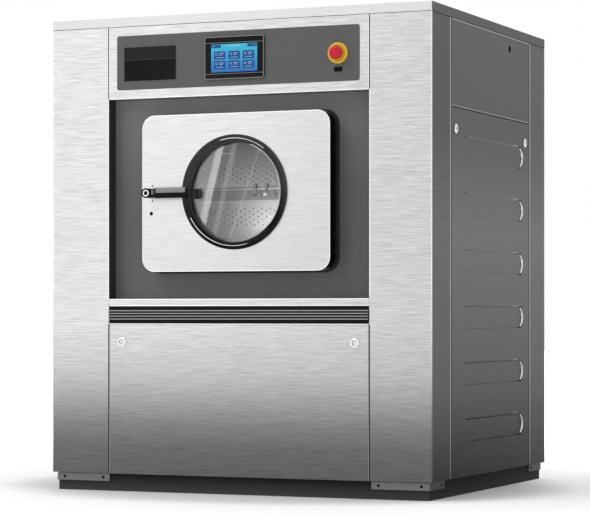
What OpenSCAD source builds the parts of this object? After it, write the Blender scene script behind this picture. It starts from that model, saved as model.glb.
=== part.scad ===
// Barrier washer: a hospital washer-extractor with a loading face (front) and an unloading face (rear).
// Origin at the middle of the footprint on the floor. X to the right, Y to the back, Z up. Millimetres.

/* [Cabinet] */
// Overall width of the cabinet
cab_w = 1344; // [1260:1:1500]
// Overall depth, from the loading face to the unloading face
cab_d = 1152; // [1130:1:1300]
// Height of the plinth under the cabinet
plinth_h = 58; // [40:1:90]
// How far the plinth stands back from the cabinet's outline
plinth_inset = 15; // [8:1:25]
// Width of the rails of the base frame
rail_w = 60; // [50:1:80]
// Diameter of the anchor holes in the base frame
anchor_hole_d = 18; // [14:1:22]
// Thickness of the cabinet's sheet metal
sheet = 2; // [1.2:0.1:2.5]
// Seam left between two neighbouring panels
seam = 0.6; // [0.4:0.1:0.9]
// Height of the band round the roof
roof_band_h = 30; // [24:1:45]
// Width of a corner column on the loading and unloading faces
column_w = 210; // [180:1:225]
// Depth of a corner column on the sides
column_d = 170; // [140:1:190]
// Depth of the folded edge of a column or panel
fold = 20; // [14:1:24]
// Height of the service panel under the vent
service_panel_h = 495; // [440:1:540]
// Height of the vent strip
vent_h = 56; // [48:1:70]
// Height of the sill under the door recess
sill_h = 24; // [18:1:32]
// Height of the door recess
recess_h = 657; // [630:1:720]
// Depth of the door recess
recess_depth = 50; // [46:1:56]
// Height of the control fascia
fascia_h = 238; // [228:1:280]
// Height of the seam between the side panels, measured from the top of the columns down
side_seam_drop = 281; // [240:1:320]

/* [Side panels] */
// Number of pressed beads on a lower side panel
bead_count = 6; // [3:1:6]
// Height of a pressed bead
bead_h = 80; // [60:1:100]
// Length of a pressed bead
bead_len = 628; // [500:1:680]
// Distance from one bead to the next
bead_pitch = 183; // [150:1:185]
// Depth to which the beads are pressed
bead_depth = 5; // [3:0.5:8]
// Height of the lowest bead's middle above the plinth
bead_first = 149; // [120:1:160]
// Diameter of the cable entry in the right upper side panel
cable_hole_d = 24; // [16:1:32]

/* [Vent] */
// Number of ridges on the vent strip
ridge_count = 4; // [3:1:5]
// Distance from one ridge to the next
ridge_pitch = 9; // [7:0.5:9]
// Height of a ridge above the strip
ridge_rise = 5; // [3:0.5:7]

/* [Control panel] */
// Thickness of the dark overlay on the fascia
inlay_t = 1; // [0.8:0.1:2]
// Width of the overlay
inlay_w = 861; // [800:1:880]
// Height of the overlay
inlay_h = 178; // [170:1:190]
// Corner radius of the overlay
inlay_r = 8; // [4:1:16]
// Width of the touch panel's bezel
touch_w = 210; // [180:1:240]
// Height of the touch panel's bezel
touch_h = 137; // [120:1:150]
// Thickness of the touch panel's bezel
touch_t = 6; // [4:1:8]
// Width of the screen
screen_w = 164; // [140:1:170]
// Height of the screen
screen_h = 90; // [80:1:98]
// Depth of the touch panel's housing behind the fascia
touch_body_d = 42; // [30:1:60]
// Width of the blank name plate
plate_w = 188; // [150:1:200]
// Height of the blank name plate
plate_h = 110; // [90:1:130]
// Depth of the control box behind the fascia
control_box_d = 170; // [120:1:190]

/* [Emergency stop] */
// Diameter of the collar
collar_d = 67; // [56:1:72]
// Height of the collar
collar_h = 10; // [8:1:14]
// Diameter of the mushroom head
mushroom_d = 42; // [36:1:48]
// Thickness of the mushroom head
mushroom_t = 16; // [12:1:20]
// Travel of the button
button_travel = 4; // [3:0.5:5]
// Diameter of the button's stem
stem_d = 22; // [16:1:26]

/* [Panel locks] */
// Diameter of a lock's head
lock_head_d = 30; // [26:1:34]
// Diameter of a lock's barrel
lock_barrel_d = 20; // [16:1:22]
// How far a lock's head stands proud
lock_head_t = 4; // [3:0.5:6]
// Distance of the service panel's locks from the panel's side edge
lock_inset = 49; // [44:1:60]
// Distance of the service panel's locks below the panel's top edge
lock_drop = 61; // [50:1:90]
// Height of the side panels' locks below the seam
side_lock_drop = 71; // [60:1:90]

/* [Drum] */
// Outer radius of the drum
drum_r = 372; // [350:1:376]
// Length of the drum
drum_len = 700; // [640:1:720]
// Wall of the drum
drum_t = 3; // [2:0.5:4]
// Radial room between the drum and the tub
tub_gap = 32; // [30:1:36]
// Wall of the tub
tub_t = 4; // [3:0.5:6]
// Thickness of the tub's end plates
tub_end_t = 10; // [8:1:14]
// Diameter of the drum's shafts
shaft_d = 80; // [60:1:90]
// Half angle of the hatch opening in the drum
hatch_angle = 24.5; // [22:0.5:25]
// Width of the hatch opening
hatch_w = 470; // [420:1:476]
// Height of the latch band on the lower leaf
band_h = 46; // [36:1:48]
// Diameter of a hole in the drum's sheet
hole_d = 5; // [4:0.5:6]
// Distance between the holes of a row
hole_pitch = 31; // [28:1:36]
// Distance between the rows of holes on a leaf
row_pitch = 9; // [8:1:12]
// Number of rows of holes on a leaf
row_count = 7; // [3:1:8]
// Height of a lifter inside the drum
lifter_h = 70; // [50:1:90]
// Travel of the hatch latch
latch_travel = 12; // [10:1:14]

/* [Doors] */
// Width of a door
door_w = 666; // [640:1:700]
// Height of a door
door_h = 510; // [500:1:540]
// Corner radius of a door
door_r = 44; // [30:1:60]
// Thickness of a door
door_t = 40; // [36:1:42]
// How far a door stands proud of the columns
door_proud = 10; // [6:1:14]
// Skin of a door
door_skin = 2.5; // [2:0.1:3]
// Height of the door's middle above the middle of the recess
door_lift = 15; // [0:1:20]
// Outer diameter of the window ring
ring_d = 371; // [350:1:390]
// Visible diameter of the window
window_d = 325; // [300:1:335]
// How far the window ring stands proud of the door
ring_proud = 12; // [8:1:16]
// Thickness of the window glass
glass_t = 8; // [6:1:10]
// Width of the mouth between tub and door
mouth_w = 500; // [490:1:510]
// Height of the mouth
mouth_h = 430; // [420:1:436]
// Corner radius of the mouth
mouth_r = 40; // [20:1:60]
// Wall of the mouth
mouth_t = 4; // [3:0.5:6]
// Width of the door gasket
gasket_w = 22; // [16:1:24]
// Diameter of a door's hinge pin
hinge_pin_d = 10; // [8:0.5:11]
// Distance of a hinge knuckle from the door's middle height
hinge_spread = 170; // [140:1:180]

/* [Door handle] */
// Distance of the handle's axis from the door's edge
handle_inset = 35; // [32:1:40]
// Diameter of the handle's hub
hub_d = 32; // [28:1:36]
// Height of the hub in front of the door
hub_l = 45; // [40:1:52]
// Length of the grip
grip_l = 114; // [100:1:125]
// Height of the grip
grip_h = 34; // [28:1:38]
// Thickness of the grip
grip_t = 22; // [18:1:24]
// Diameter of the spindle through the door
spindle_d = 16; // [12:1:18]

/* [Suspension and drive] */
// Free travel of the tub up and down
float_travel = 10; // [6:1:10]
// Height of the posts under the air springs
post_h = 60; // [40:1:80]
// Height of an air spring
spring_h = 150; // [130:1:170]
// Diameter of an air spring
spring_d = 140; // [120:1:150]
// Diameter of a damper's tube
damper_d = 36; // [30:1:44]
// Diameter of a damper's rod
rod_d = 18; // [14:1:20]
// Diameter of the drum pulley
drum_pulley_d = 420; // [360:1:440]
// Diameter of the motor pulley
motor_pulley_d = 100; // [90:1:120]
// Width of the belt
belt_w = 40; // [30:1:46]
// Thickness of the belt
belt_t = 5; // [4:0.5:8]
// Diameter of the motor
motor_d = 170; // [150:1:180]
// Length of the motor
motor_l = 250; // [200:1:280]

/* [Services] */
// Outer diameter of a water inlet
inlet_d = 26; // [20:1:33]
// Height of a water inlet above the roof
inlet_h = 40; // [30:1:60]
// Outer diameter of the vent pipe
vent_pipe_d = 100; // [80:1:110]
// Outer diameter of the drain pipe
drain_d = 76; // [60:1:80]

/* [Hidden] */
$fn = 96;
run = 0.1;            // radial running clearance of a pin or shaft
lay = 0.3;            // gap between a moving piece and its seat
hx = cab_w / 2;
hy = cab_d / 2;
base_x = hx - plinth_inset;
base_y = hy - plinth_inset;
z0 = plinth_h;
vent_z = z0 + service_panel_h;
sill_z = vent_z + vent_h;
recess_z = sill_z + sill_h;
fascia_z = recess_z + recess_h;
column_top = fascia_z + fascia_h;
roof_z = column_top + roof_band_h;
field_x = hx - column_w;              // half width between the columns
side_y = hy - column_d;               // half depth between the columns
side_seam_z = column_top - side_seam_drop;
axis_z = recess_z + recess_h / 2 + door_lift;

surround_y = hy - recess_depth;       // face of the door surround
surround_lap = 20;                    // how far the surround reaches behind the columns
fold_gap = 2;                         // room between the recess folds and the surround
front_fold = recess_depth - fold_gap;

inlay_x = -0.5;
inlay_z = fascia_z + fascia_h / 2 - 0.5;
touch_x = -3.5;
touch_z = inlay_z + 1.5;
screen_z = touch_z - 1;
plate_gap = 107;                      // from the name plate to the touch panel
plate_x = touch_x - touch_w / 2 - plate_gap - plate_w / 2;
plate_z = inlay_z - 5;
estop_inset = 73;                     // from the overlay's right edge to the button
estop_x = inlay_x + inlay_w / 2 - estop_inset;
estop_z = inlay_z;
port_drop = 51;                       // from the button down to the service socket
port_z = estop_z - port_drop;
port_w = 26;
port_h = 14;
inlay_y = -hy - inlay_t;

lock_x = field_x - lock_inset;
lock_z = vent_z - lock_drop;
side_lock_z = side_seam_z - side_lock_drop;
side_lock_inset = [46, 60];           // from the front and the rear column
side_lock_front = -side_y + side_lock_inset[0];
side_lock_rear = side_y - side_lock_inset[1];
tongue_t = 3;
tongue_w = 14;
tongue_lap = 8;
catch_t = 5;
catch_reach = 18;
lock_depth = 24;                      // from the panel's face to the tongue

tub_r = drum_r + tub_gap;
tub_or = tub_r + tub_t;
end_room = 14;
tub_hx = drum_len / 2 + end_room;     // inner half length of the tub
tub_ox = tub_hx + tub_end_t;
flange_r = tub_or + 14;
housing_l = 70;
housing_r = shaft_d / 2 + 35;
bearing_r = shaft_d / 2 + 16;
shaft_end = tub_ox + housing_l + 10;
pulley_x = -(tub_ox + housing_l + 45);

beam_w = 150;                         // cross members under the air springs
foot_z = z0 + post_h + spring_h;
foot_t = 10;
foot_x0 = tub_ox;
foot_l = 150;
foot_y0 = 120;
foot_y1 = 375;
spring_x = foot_x0 + foot_l / 2;
spring_y = foot_y1 - spring_d / 2 - 8;
damper_y = foot_y0 + 35;
motor_shaft_r = 14;
motor_seat = 76;                      // length of the shaft in the motor
motor_y = 210;
motor_z = foot_z + motor_d / 2 + 45;

hole_first = band_h / 2 + 22;         // from the drum's middle line to a leaf's first row of holes
end_rim = 14;                         // rim of a drum end inside the shell
end_dish = 40;                        // depth of the dish round the shaft
lifter_foot = 90;
hinge_r = drum_r + 6;                 // radius of the leaves' hinge pins
hinge_angle = hatch_angle + 1.5;
leaf_gap = 0.2;                       // angle left free round a leaf
split_angle = asin((band_h / 2 + 1) / drum_r);
leaf_pin_r = 2.5;
leaf_knuckle_r = 5;
leaf_knuckle_l = 60;
leaf_knuckle_x = 150;
lug_t = 8;
band_t = 4;
latch_y = -(drum_r + band_t + 1);     // inner face of the latch, 1 mm over the band
latch_t = 5;
latch_bar_h = 14;
finger_w = 8;
finger_x = finger_w / 2 + latch_travel + 4;
finger_l = 12;
finger_room = 1.5;                    // room round a finger in its notch
guide_l = 12;
guide_x = finger_x + finger_w / 2 + latch_travel + guide_l / 2 + 3;
latch_hx = guide_x + guide_l / 2 + 8;

door_y = -hy - door_proud;            // outer face of the loading door
door_back = door_y + door_t;
handle_x = door_w / 2 - handle_inset; // from the door's middle to the handle's axis
ring_r = ring_d / 2;
window_r = window_d / 2;
glass_r = window_r + 4;
well_r = glass_r + 4;                 // radius of the window well through the door
hinge_x = door_w / 2 - 11;
hinge_y = door_back - 2;
knuckle_r = hinge_pin_d / 2 + 3;
knuckle_h = 40;
arm_t = 8;
arm_h = 12;
handle_cam_t = 5;
handle_cam_l = 34;
handle_cam_w = 16;
handle_cam_y = door_back + 5.5;
keeper_t = 3.5;

inlet_first = 130;                    // from the left side to the first water inlet
inlet_pitch = 75;
vent_pipe_in = 460;                   // from the left side to the vent pipe
services_in = 90;                     // from the roof's joint to the inlets and the vent pipe
drain_x = -180;
drain_up = 70;                        // from the plinth's top to the drain pipe
drain_z = z0 + drain_up + drain_d / 2;
drain_out = 34;                       // how far the drain stands out at the back
drain_spigot = 30;                    // length of its end that a hose goes over
drain_step = 2;                       // the pipe is this much slimmer than the spigot
drain_l = 170;                        // length inside the frame
valve_head_h = 60;

// A box from its two corners
module block(a, b) {
    translate([min(a.x, b.x), min(a.y, b.y), min(a.z, b.z)])
        cube([abs(b.x - a.x), abs(b.y - a.y), abs(b.z - a.z)]);
}

// A copy for the unloading side as well
module both_faces() {
    children();
    rotate([0, 0, 180]) children();
}

// A copy on the other side of the middle plane
module both_sides() {
    children();
    mirror([1, 0, 0]) children();
}

// A copy towards the back
module front_and_back() {
    children();
    mirror([0, 1, 0]) children();
}

// A rectangle with round corners, about its middle
module round_rect(w, h, r) {
    square([w - 2 * r, h], center = true);
    square([w, h - 2 * r], center = true);
    for (x = [-1, 1], y = [-1, 1])
        translate([x * (w / 2 - r), y * (h / 2 - r)]) circle(r);
}

// Stands a drawing in the XZ plane: it fills from y, t towards the back
module upright(y, t) {
    translate([0, y + t, 0]) rotate([90, 0, 0]) linear_extrude(t) children();
}

// Lays a drawing in the YZ plane: it fills from x, t to the right
module sideways(x, t) {
    translate([x, 0, 0]) rotate([90, 0, 90]) linear_extrude(t) children();
}

// A rod along Y from y0 to y1
module rod_y(x, z, r, y0, y1) {
    translate([x, y0, z]) rotate([-90, 0, 0]) cylinder(r = r, h = y1 - y0);
}

// A rod along X from x0 to x1
module rod_x(y, z, r, x0, x1) {
    translate([x0, y, z]) rotate([0, 90, 0]) cylinder(r = r, h = x1 - x0);
}

// Part of a cylinder wall about the drum's axis; the angles count up from the loading side
module arc_wall(r0, r1, a0, a1, x0, x1) {
    translate([0, 0, axis_z]) rotate([0, 90, 0]) rotate([0, 0, -90 - a1])
        rotate_extrude(angle = a1 - a0)
            translate([r0, x0]) square([r1 - r0, x1 - x0]);
}

// Puts a piece that lies in front of the drum's middle at an angle above it
module at_angle(a) {
    translate([0, 0, axis_z]) rotate([-a, 0, 0]) translate([0, 0, -axis_z]) children();
}

// Flat belt round two pulleys: a wrap on each, and the two straight runs between them
module flat_belt(c2, r1, r2, t, gap, width) {
    heading = atan2(c2.y, c2.x);
    lean = acos((r1 - r2) / norm(c2));
    span = sqrt(norm(c2) ^ 2 - (r1 - r2) ^ 2);
    inset = 0.1;
    into = 1;
    linear_extrude(width) belt_wrap([0, 0], r1 + gap, r1 + t, heading + lean, heading + 360 - lean);
    linear_extrude(width) belt_wrap(c2, r2 + gap, r2 + t, heading - lean, heading + lean);
    for (s = [1, -1]) rotate(heading + s * lean)
        translate([r1 + gap + inset, s > 0 ? -span - into : -into, 0])
            cube([t - gap - 2 * inset, span + 2 * into, width]);
}
module belt_wrap(c, r_in, r_out, a0, a1) {
    far = 2 * r_out;
    middle = (a0 + a1) / 2;
    half = (a1 - a0) / 2;
    translate(c) rotate(middle) difference() {
        circle(r_out);
        circle(r_in);
        if (half > 90) polygon([[0, 0], far * [cos(half), sin(half)], [-far, 0], far * [cos(half), -sin(half)]]);
        else polygon([[0, 0], far * [cos(half), sin(half)], [0, far], [-far, far], [-far, -far], [0, -far],
                      far * [cos(half), -sin(half)]]);
    }
}

/* Cabinet */

// Welded frame on the floor, with the posts that carry the air springs
module base_frame() {
    color("#3d3d3c") {
        difference() {
            union() {
                linear_extrude(plinth_h) difference() {
                    square([2 * base_x, 2 * base_y], center = true);
                    square([2 * (base_x - rail_w), 2 * (base_y - rail_w)], center = true);
                }
                both_sides()
                    block([spring_x - beam_w / 2, -base_y + rail_w - 1, 0],
                          [spring_x + beam_w / 2, base_y - rail_w + 1, plinth_h]);
            }
            for (x = [-1, 1], y = [-1, 1])
                translate([x * (base_x - rail_w / 2), y * (base_y - rail_w / 2), -1])
                    cylinder(d = anchor_hole_d, h = plinth_h + 2);
        }
        both_sides() front_and_back()
            translate([spring_x, spring_y, plinth_h - 1]) cylinder(d = spring_d - 20, h = post_h + 1);
    }
}

// Angle plates that tie the cabinet to the plinth at its corners
module base_brackets() {
    leg_x = 192;
    leg_y = 128;
    t = 4;
    screw_r = 3;
    screw_in = 24;
    top = plinth_h - 2;
    low = plinth_h - 26;
    color("#8a8a88") both_sides() front_and_back() difference() {
        union() {
            block([base_x - leg_x, base_y, low], [base_x + t, base_y + t, top]);
            block([base_x, base_y - leg_y, low], [base_x + t, base_y + t, top]);
        }
        for (x = [screw_in, leg_x - screw_in])
            rod_y(base_x - x, (top + low) / 2, screw_r, base_y - 1, base_y + t + 1);
        rod_x(base_y - leg_y + screw_in, (top + low) / 2, screw_r, base_x - 1, base_x + t + 1);
    }
}

// Folded corner column: the wide face, the side, the recess wall and the lip that the locks catch
module column() {
    lip_x = hx - lock_depth + tongue_t + 1;
    catch_hz = tongue_w / 2 + 8;
    color("#c9c9c7") {
        translate([0, 0, z0]) linear_extrude(column_top - z0) {
            translate([field_x, -hy]) square([column_w, sheet]);
            translate([hx - sheet, -hy]) square([sheet, column_d]);
            translate([field_x, -hy]) square([sheet, front_fold]);
            translate([lip_x - sheet, -side_y - sheet]) square([hx - lip_x + sheet, sheet]);
            translate([lip_x - sheet, -side_y - sheet]) square([sheet, sheet + catch_reach]);
        }
        block([base_x - rail_w / 3, -hy + sheet / 2, z0], [hx - sheet / 2, -side_y - sheet / 2, z0 + 3]);
        block([field_x + sheet / 2, -hy + lock_depth - catch_t - 1, lock_z - catch_hz],
              [field_x - catch_reach, -hy + lock_depth - 1, lock_z + catch_hz]);
    }
}
module front_columns() { both_sides() column(); }
module rear_columns() { rotate([0, 0, 180]) both_sides() column(); }

// Roof tray with its band; its rear end is a separate tray
module roof_tray(y0, y1) {
    difference() {
        block([-hx, y0, column_top], [hx, y1, roof_z]);
        block([-hx + sheet, y0 + sheet, column_top - 1], [hx - sheet, y1 - sheet, roof_z - sheet]);
    }
}
module top_cover() {
    color("#cfcfcd") difference() {
        union() {
            roof_tray(-hy, side_y - seam / 2);
            roof_tray(side_y + seam / 2, hy);
        }
        for (i = [0:2]) water_inlet_at(i) cylinder(d = inlet_d + 1, h = 3 * sheet, center = true);
        vent_pipe_at() cylinder(d = vent_pipe_d + 1, h = 3 * sheet, center = true);
    }
}
module water_inlet_at(i) {
    translate([-hx + inlet_first + inlet_pitch * i, side_y - services_in, roof_z]) children();
}
module vent_pipe_at() { translate([-hx + vent_pipe_in, side_y - services_in, roof_z]) children(); }

// Tray for a panel on the loading face: a skin with folded edges all round
module face_tray(x, z_low, z_high, y, depth) {
    difference() {
        block([-x, y, z_low], [x, y + depth, z_high]);
        block([-x + sheet, y + sheet, z_low + sheet], [x - sheet, y + depth + 1, z_high - sheet]);
    }
}

// The openings that the controls need in the fascia and the overlay
module control_cutouts(grow = 0) {
    translate([touch_x, touch_z]) square([touch_w - 16 + grow, touch_h - 16 + grow], center = true);
    translate([estop_x, estop_z]) circle(d = stem_d + 10 + grow);
    translate([estop_x, port_z]) square([port_w - 4 + grow, port_h - 4 + grow], center = true);
}

module control_fascia() {
    color("#d8d8d6") difference() {
        union() {
            face_tray(field_x - seam, fascia_z, column_top - seam, -hy, fold);
            block([-field_x + seam, -hy + 1, fascia_z], [field_x - seam, -hy + front_fold, fascia_z + sheet]);
        }
        upright(-hy - 1, sheet + 2) control_cutouts();
    }
}

module rear_fascia() {
    color("#d8d8d6") rotate([0, 0, 180]) difference() {
        union() {
            face_tray(field_x - seam, fascia_z, column_top - seam, -hy, fold);
            block([-field_x + seam, -hy + 1, fascia_z], [field_x - seam, -hy + front_fold, fascia_z + sheet]);
        }
        rod_y(estop_x, estop_z, stem_d / 2 + 5, -hy - 1, -hy + sheet + 1);
    }
}

module control_inlay() {
    color("#646464") upright(inlay_y, inlay_t) difference() {
        translate([inlay_x, inlay_z]) round_rect(inlay_w, inlay_h, inlay_r);
        control_cutouts();
    }
}

module blank_plate() {
    t = 1.5;
    color("#1b1b1c") upright(inlay_y - t, t) translate([plate_x, plate_z]) round_rect(plate_w, plate_h, 3);
}

// Bezel with its housing through the fascia, and a pocket for the screen
module touch_panel() {
    color("#141416") difference() {
        union() {
            upright(inlay_y - touch_t, touch_t) translate([touch_x, touch_z]) round_rect(touch_w, touch_h, 7);
            upright(inlay_y - 1, touch_body_d) translate([touch_x, touch_z])
                square([touch_w - 17, touch_h - 17], center = true);
        }
        upright(inlay_y - touch_t - 1, 3) translate([touch_x, screen_z])
            square([screen_w, screen_h], center = true);
    }
}

module touch_screen() {
    color("#2aa0d8") upright(inlay_y - touch_t + 0.6, 1.4) translate([touch_x, screen_z])
        square([screen_w - 0.2, screen_h - 0.2], center = true);
}

// Collar of an emergency stop, with the neck that holds it in the panel; its back lies at y = 0
module estop_collar() {
    bore = stem_d / 2 + run;
    rotate([90, 0, 0]) rotate_extrude() polygon([
        [bore, -24], [stem_d / 2 + 4, -24], [stem_d / 2 + 4, 0], [collar_d / 2, 0],
        [collar_d / 2, collar_h - 4], [collar_d / 2 - 5, collar_h], [bore, collar_h],
    ]);
}
module estop_collars() {
    color("#f2c500") {
        translate([estop_x, inlay_y, estop_z]) estop_collar();
        rotate([0, 0, 180]) translate([estop_x, -hy, estop_z]) estop_collar();
    }
}

// Mushroom head on its stem; the collar's back lies at y = 0
module estop_button() {
    under = collar_h + button_travel + 1;
    stem_r = stem_d / 2;
    head_r = mushroom_d / 2;
    rotate([90, 0, 0]) rotate_extrude() polygon([
        [0, -18], [stem_r, -18], [stem_r, under], [head_r - 2, under], [head_r, under + 2],
        [head_r, under + mushroom_t - 6], [head_r - 3, under + mushroom_t - 2],
        [head_r - 8, under + mushroom_t], [0, under + mushroom_t],
    ]);
}
module estop_button_front() { color("#d81e12") translate([estop_x, inlay_y, estop_z]) estop_button(); }
module estop_button_rear() {
    color("#d81e12") rotate([0, 0, 180]) translate([estop_x, -hy, estop_z]) estop_button();
}

// Flap of the service socket under the emergency stop
module service_port() {
    color("#101012") {
        upright(inlay_y - 2.5, 2.5) translate([estop_x, port_z]) round_rect(port_w, port_h, 2);
        upright(inlay_y - 0.5, 14) translate([estop_x, port_z]) square([port_w - 5, port_h - 5], center = true);
    }
}

// Open-fronted box that stands on the back of the fascia
module control_box() {
    low = fascia_z + surround_lap + float_travel + 14;
    high = column_top - fold / 2;
    x = field_x - 45;
    color("#b9b9b7") difference() {
        block([-x, -hy + sheet, low], [x, -hy + sheet + control_box_d, high]);
        block([-x + sheet, -hy + sheet - 1, low + sheet], [x - sheet, -hy + control_box_d, high - sheet]);
    }
}

// Strip under the recess: its face, and the ledge that runs back to the surround
module sill_strips() {
    x = field_x - seam;
    color("#e6e6e4") both_faces() {
        block([-x, -hy, sill_z + seam], [x, -hy + sheet, recess_z]);
        block([-x, -hy, recess_z - sheet], [x, -hy + front_fold, recess_z]);
        block([-x, -hy, sill_z + seam], [x, -hy + fold, sill_z + seam + sheet]);
    }
}

// Folded vent strip with sharp ridges along its length
module vent_louvres() {
    x = field_x - seam;
    margin = (vent_h - ridge_count * ridge_pitch) / 2;
    back = 4;
    face = [for (i = [0:2 * ridge_count])
        [i % 2 == 1 ? ridge_rise : 0, margin + i * ridge_pitch / 2]];
    outline = concat(
        [[0, seam]], face, [[0, vent_h - seam], [-fold, vent_h - seam], [-fold, vent_h - seam - sheet]],
        [[-back, vent_h - seam - sheet]],
        [for (i = [len(face) - 1:-1:0]) [face[i].x - back, face[i].y]],
        [[-back, seam + sheet], [-fold, seam + sheet], [-fold, seam]]);
    color("#171718") both_faces() translate([-x, -hy, vent_z]) rotate([90, 0, 90])
        linear_extrude(2 * x) mirror([1, 0]) polygon(outline);
}

module service_panels() {
    color("#b4b4b2") difference() {
        both_faces() difference() {
            face_tray(field_x - seam, z0, vent_z - seam, -hy, lock_depth - catch_t - 3);
            for (s = [-1, 1]) rod_y(s * lock_x, lock_z, lock_barrel_d / 2 + run, -hy - 1, -hy + sheet + 1);
        }
        rod_y(drain_x, drain_z, drain_d / 2 + 1, hy - sheet - 1, hy + 1);
    }
}

// Tray for a panel on the right side
module side_tray(z_low, z_high) {
    y = side_y - seam;
    difference() {
        block([hx - fold, -y, z_low], [hx, y, z_high]);
        block([hx - fold - 1, -y + sheet, z_low + sheet], [hx - sheet, y - sheet, z_high - sheet]);
    }
}

// The side panels' edges stop short of the columns' lips
module side_edge_relief(z_low, z_high) {
    lip_x = hx - lock_depth + tongue_t + 1;
    for (s = [-1, 1])
        block([hx - fold - 2, s * (side_y - seam - 1.5 * sheet), z_low - 1],
              [lip_x + 1, s * (side_y + 1), z_high + 1]);
}

module upper_side_panels() {
    hole_y = 187;
    hole_z = column_top - 44;
    color("#8d8d8b") {
        difference() {
            side_tray(side_seam_z + seam, column_top - seam);
            side_edge_relief(side_seam_z, column_top);
            rod_x(hole_y, hole_z, cable_hole_d / 2, hx - sheet - 1, hx + 1);
        }
        mirror([1, 0, 0]) difference() {
            side_tray(side_seam_z + seam, column_top - seam);
            side_edge_relief(side_seam_z, column_top);
        }
    }
}

// The outline of one bead, with its sides drawn in by the given amount
module bead_outline(shrink) {
    round_rect(bead_len - 2 * shrink, bead_h - 2 * shrink, bead_h / 2 - 4 - shrink);
}

// The places of the beads on the panel
module bead_places() {
    middle = (side_lock_front + side_lock_rear) / 2 + 25;
    for (i = [0:bead_count - 1]) translate([middle, z0 + bead_first + i * bead_pitch]) children();
}

// Each bead is a pocket in the face in two steps, with the metal that bulges in behind it
module lower_side_panel() {
    step = bead_depth / 2;
    difference() {
        union() {
            difference() {
                side_tray(z0, side_seam_z);
                side_edge_relief(z0, side_seam_z);
            }
            sideways(hx - sheet - bead_depth, bead_depth + sheet / 2) bead_places() bead_outline(0);
        }
        for (i = [0, 1])
            sideways(hx - bead_depth + i * step, step + 1) bead_places() bead_outline(sheet + 2 * (1 - i));
        for (y = [side_lock_front, side_lock_rear])
            rod_x(y, side_lock_z, lock_barrel_d / 2 + run, hx - sheet - 1, hx + 1);
    }
}
module lower_side_panels() { color("#7d7d7b") both_sides() lower_side_panel(); }

// Quarter-turn lock on a face at y = 0, its tongue pointing along X by the given length
module quarter_lock(reach) {
    barrel_r = lock_barrel_d / 2;
    head_r = lock_head_d / 2;
    color("#cfd0d0") {
        difference() {
            rotate([90, 0, 0]) rotate_extrude() polygon([
                [0, -lock_depth], [barrel_r, -lock_depth], [barrel_r, lay], [head_r, lay],
                [head_r, lock_head_t - 1], [head_r - 1.5, lock_head_t], [0, lock_head_t],
            ]);
            rod_y(0, 0, head_r - 6, -lock_head_t - 1, -lock_head_t + 2);
        }
        rod_y(0, 0, head_r - 11, -lock_head_t + 0.5, -lock_head_t + 3);
        hull() {
            rod_y(0, 0, barrel_r - 1, lock_depth, lock_depth + tongue_t, $fn = 32);
            block([0, lock_depth, -tongue_w / 2], [reach, lock_depth + tongue_t, tongue_w / 2]);
        }
    }
}
module face_lock(s) {
    translate([s * lock_x, -hy, lock_z]) mirror([s < 0 ? 1 : 0, 0, 0])
        quarter_lock(lock_inset - catch_reach + tongue_lap);
}
module lock_front_left() { face_lock(-1); }
module lock_front_right() { face_lock(1); }
module lock_rear_left() { rotate([0, 0, 180]) face_lock(-1); }
module lock_rear_right() { rotate([0, 0, 180]) face_lock(1); }

// Lock of the right side panel; the tongue points at the nearer column
module side_lock(y) {
    s = y < 0 ? -1 : 1;
    reach = side_y - abs(y) - catch_reach + sheet + tongue_lap;
    translate([hx, y, side_lock_z]) rotate([0, 0, 90]) mirror([s < 0 ? 1 : 0, 0, 0]) quarter_lock(reach);
}
module lock_right_front() { side_lock(side_lock_front); }
module lock_right_rear() { side_lock(side_lock_rear); }
module lock_left_front() { mirror([1, 0, 0]) side_lock(side_lock_front); }
module lock_left_rear() { mirror([1, 0, 0]) side_lock(side_lock_rear); }

/* Services */

// Three threaded stubs on the roof, each with its valve under the sheet
module water_inlets() {
    neck = 30;
    valve_w = 44;
    valve_h = 48;
    color("#b58a3c") for (i = [0:2]) water_inlet_at(i) difference() {
        union() {
            cylinder(d = inlet_d + 16, h = 6, $fn = 6);
            cylinder(d = inlet_d, h = inlet_h);
            translate([0, 0, -neck]) cylinder(d = inlet_d, h = neck + 1);
            translate([-valve_w / 2, -valve_w / 2, -neck - valve_h]) cube([valve_w, valve_w, valve_h]);
        }
        translate([0, 0, -neck + 10]) cylinder(d = inlet_d - 7, h = neck + inlet_h);
    }
}

module vent_pipe() {
    below = 60;
    color("#77787a") vent_pipe_at() difference() {
        union() {
            cylinder(d = vent_pipe_d + 40, h = 4);
            translate([0, 0, -below]) cylinder(d = vent_pipe_d, h = below + inlet_h);
        }
        translate([0, 0, -below - 1]) cylinder(d = vent_pipe_d - 6, h = below + inlet_h + 2);
    }
}

// Drain stub with its valve, on a foot that stands on the base frame; it leaves through the rear panel
module drain_pipe() {
    foot_y = base_y - rail_w + 5;
    foot_hx = drain_d / 2 + 7;
    y0 = foot_y - drain_l;
    y1 = hy + drain_out;
    r = drain_d / 2;
    color("#5c5d60") difference() {
        union() {
            rod_y(drain_x, drain_z, r - drain_step, y0, y1 - drain_spigot + 1);
            rod_y(drain_x, drain_z, r, y1 - drain_spigot, y1);
            rod_y(drain_x, drain_z, r + 10, y0, y0 + 12);
            translate([drain_x, (y0 + foot_y) / 2, drain_z]) cylinder(r = r * 0.8, h = r + valve_head_h / 2);
            block([drain_x - foot_hx, foot_y, z0], [drain_x + foot_hx, base_y - 8, z0 + 6]);
            block([drain_x - foot_hx + 15, foot_y + 14, z0 + 1], [drain_x + foot_hx - 15, foot_y + 28, drain_z]);
        }
        rod_y(drain_x, drain_z, r - drain_step - 3, y0 - 1, y1 + 1);
    }
}

/* Tub */

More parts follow.
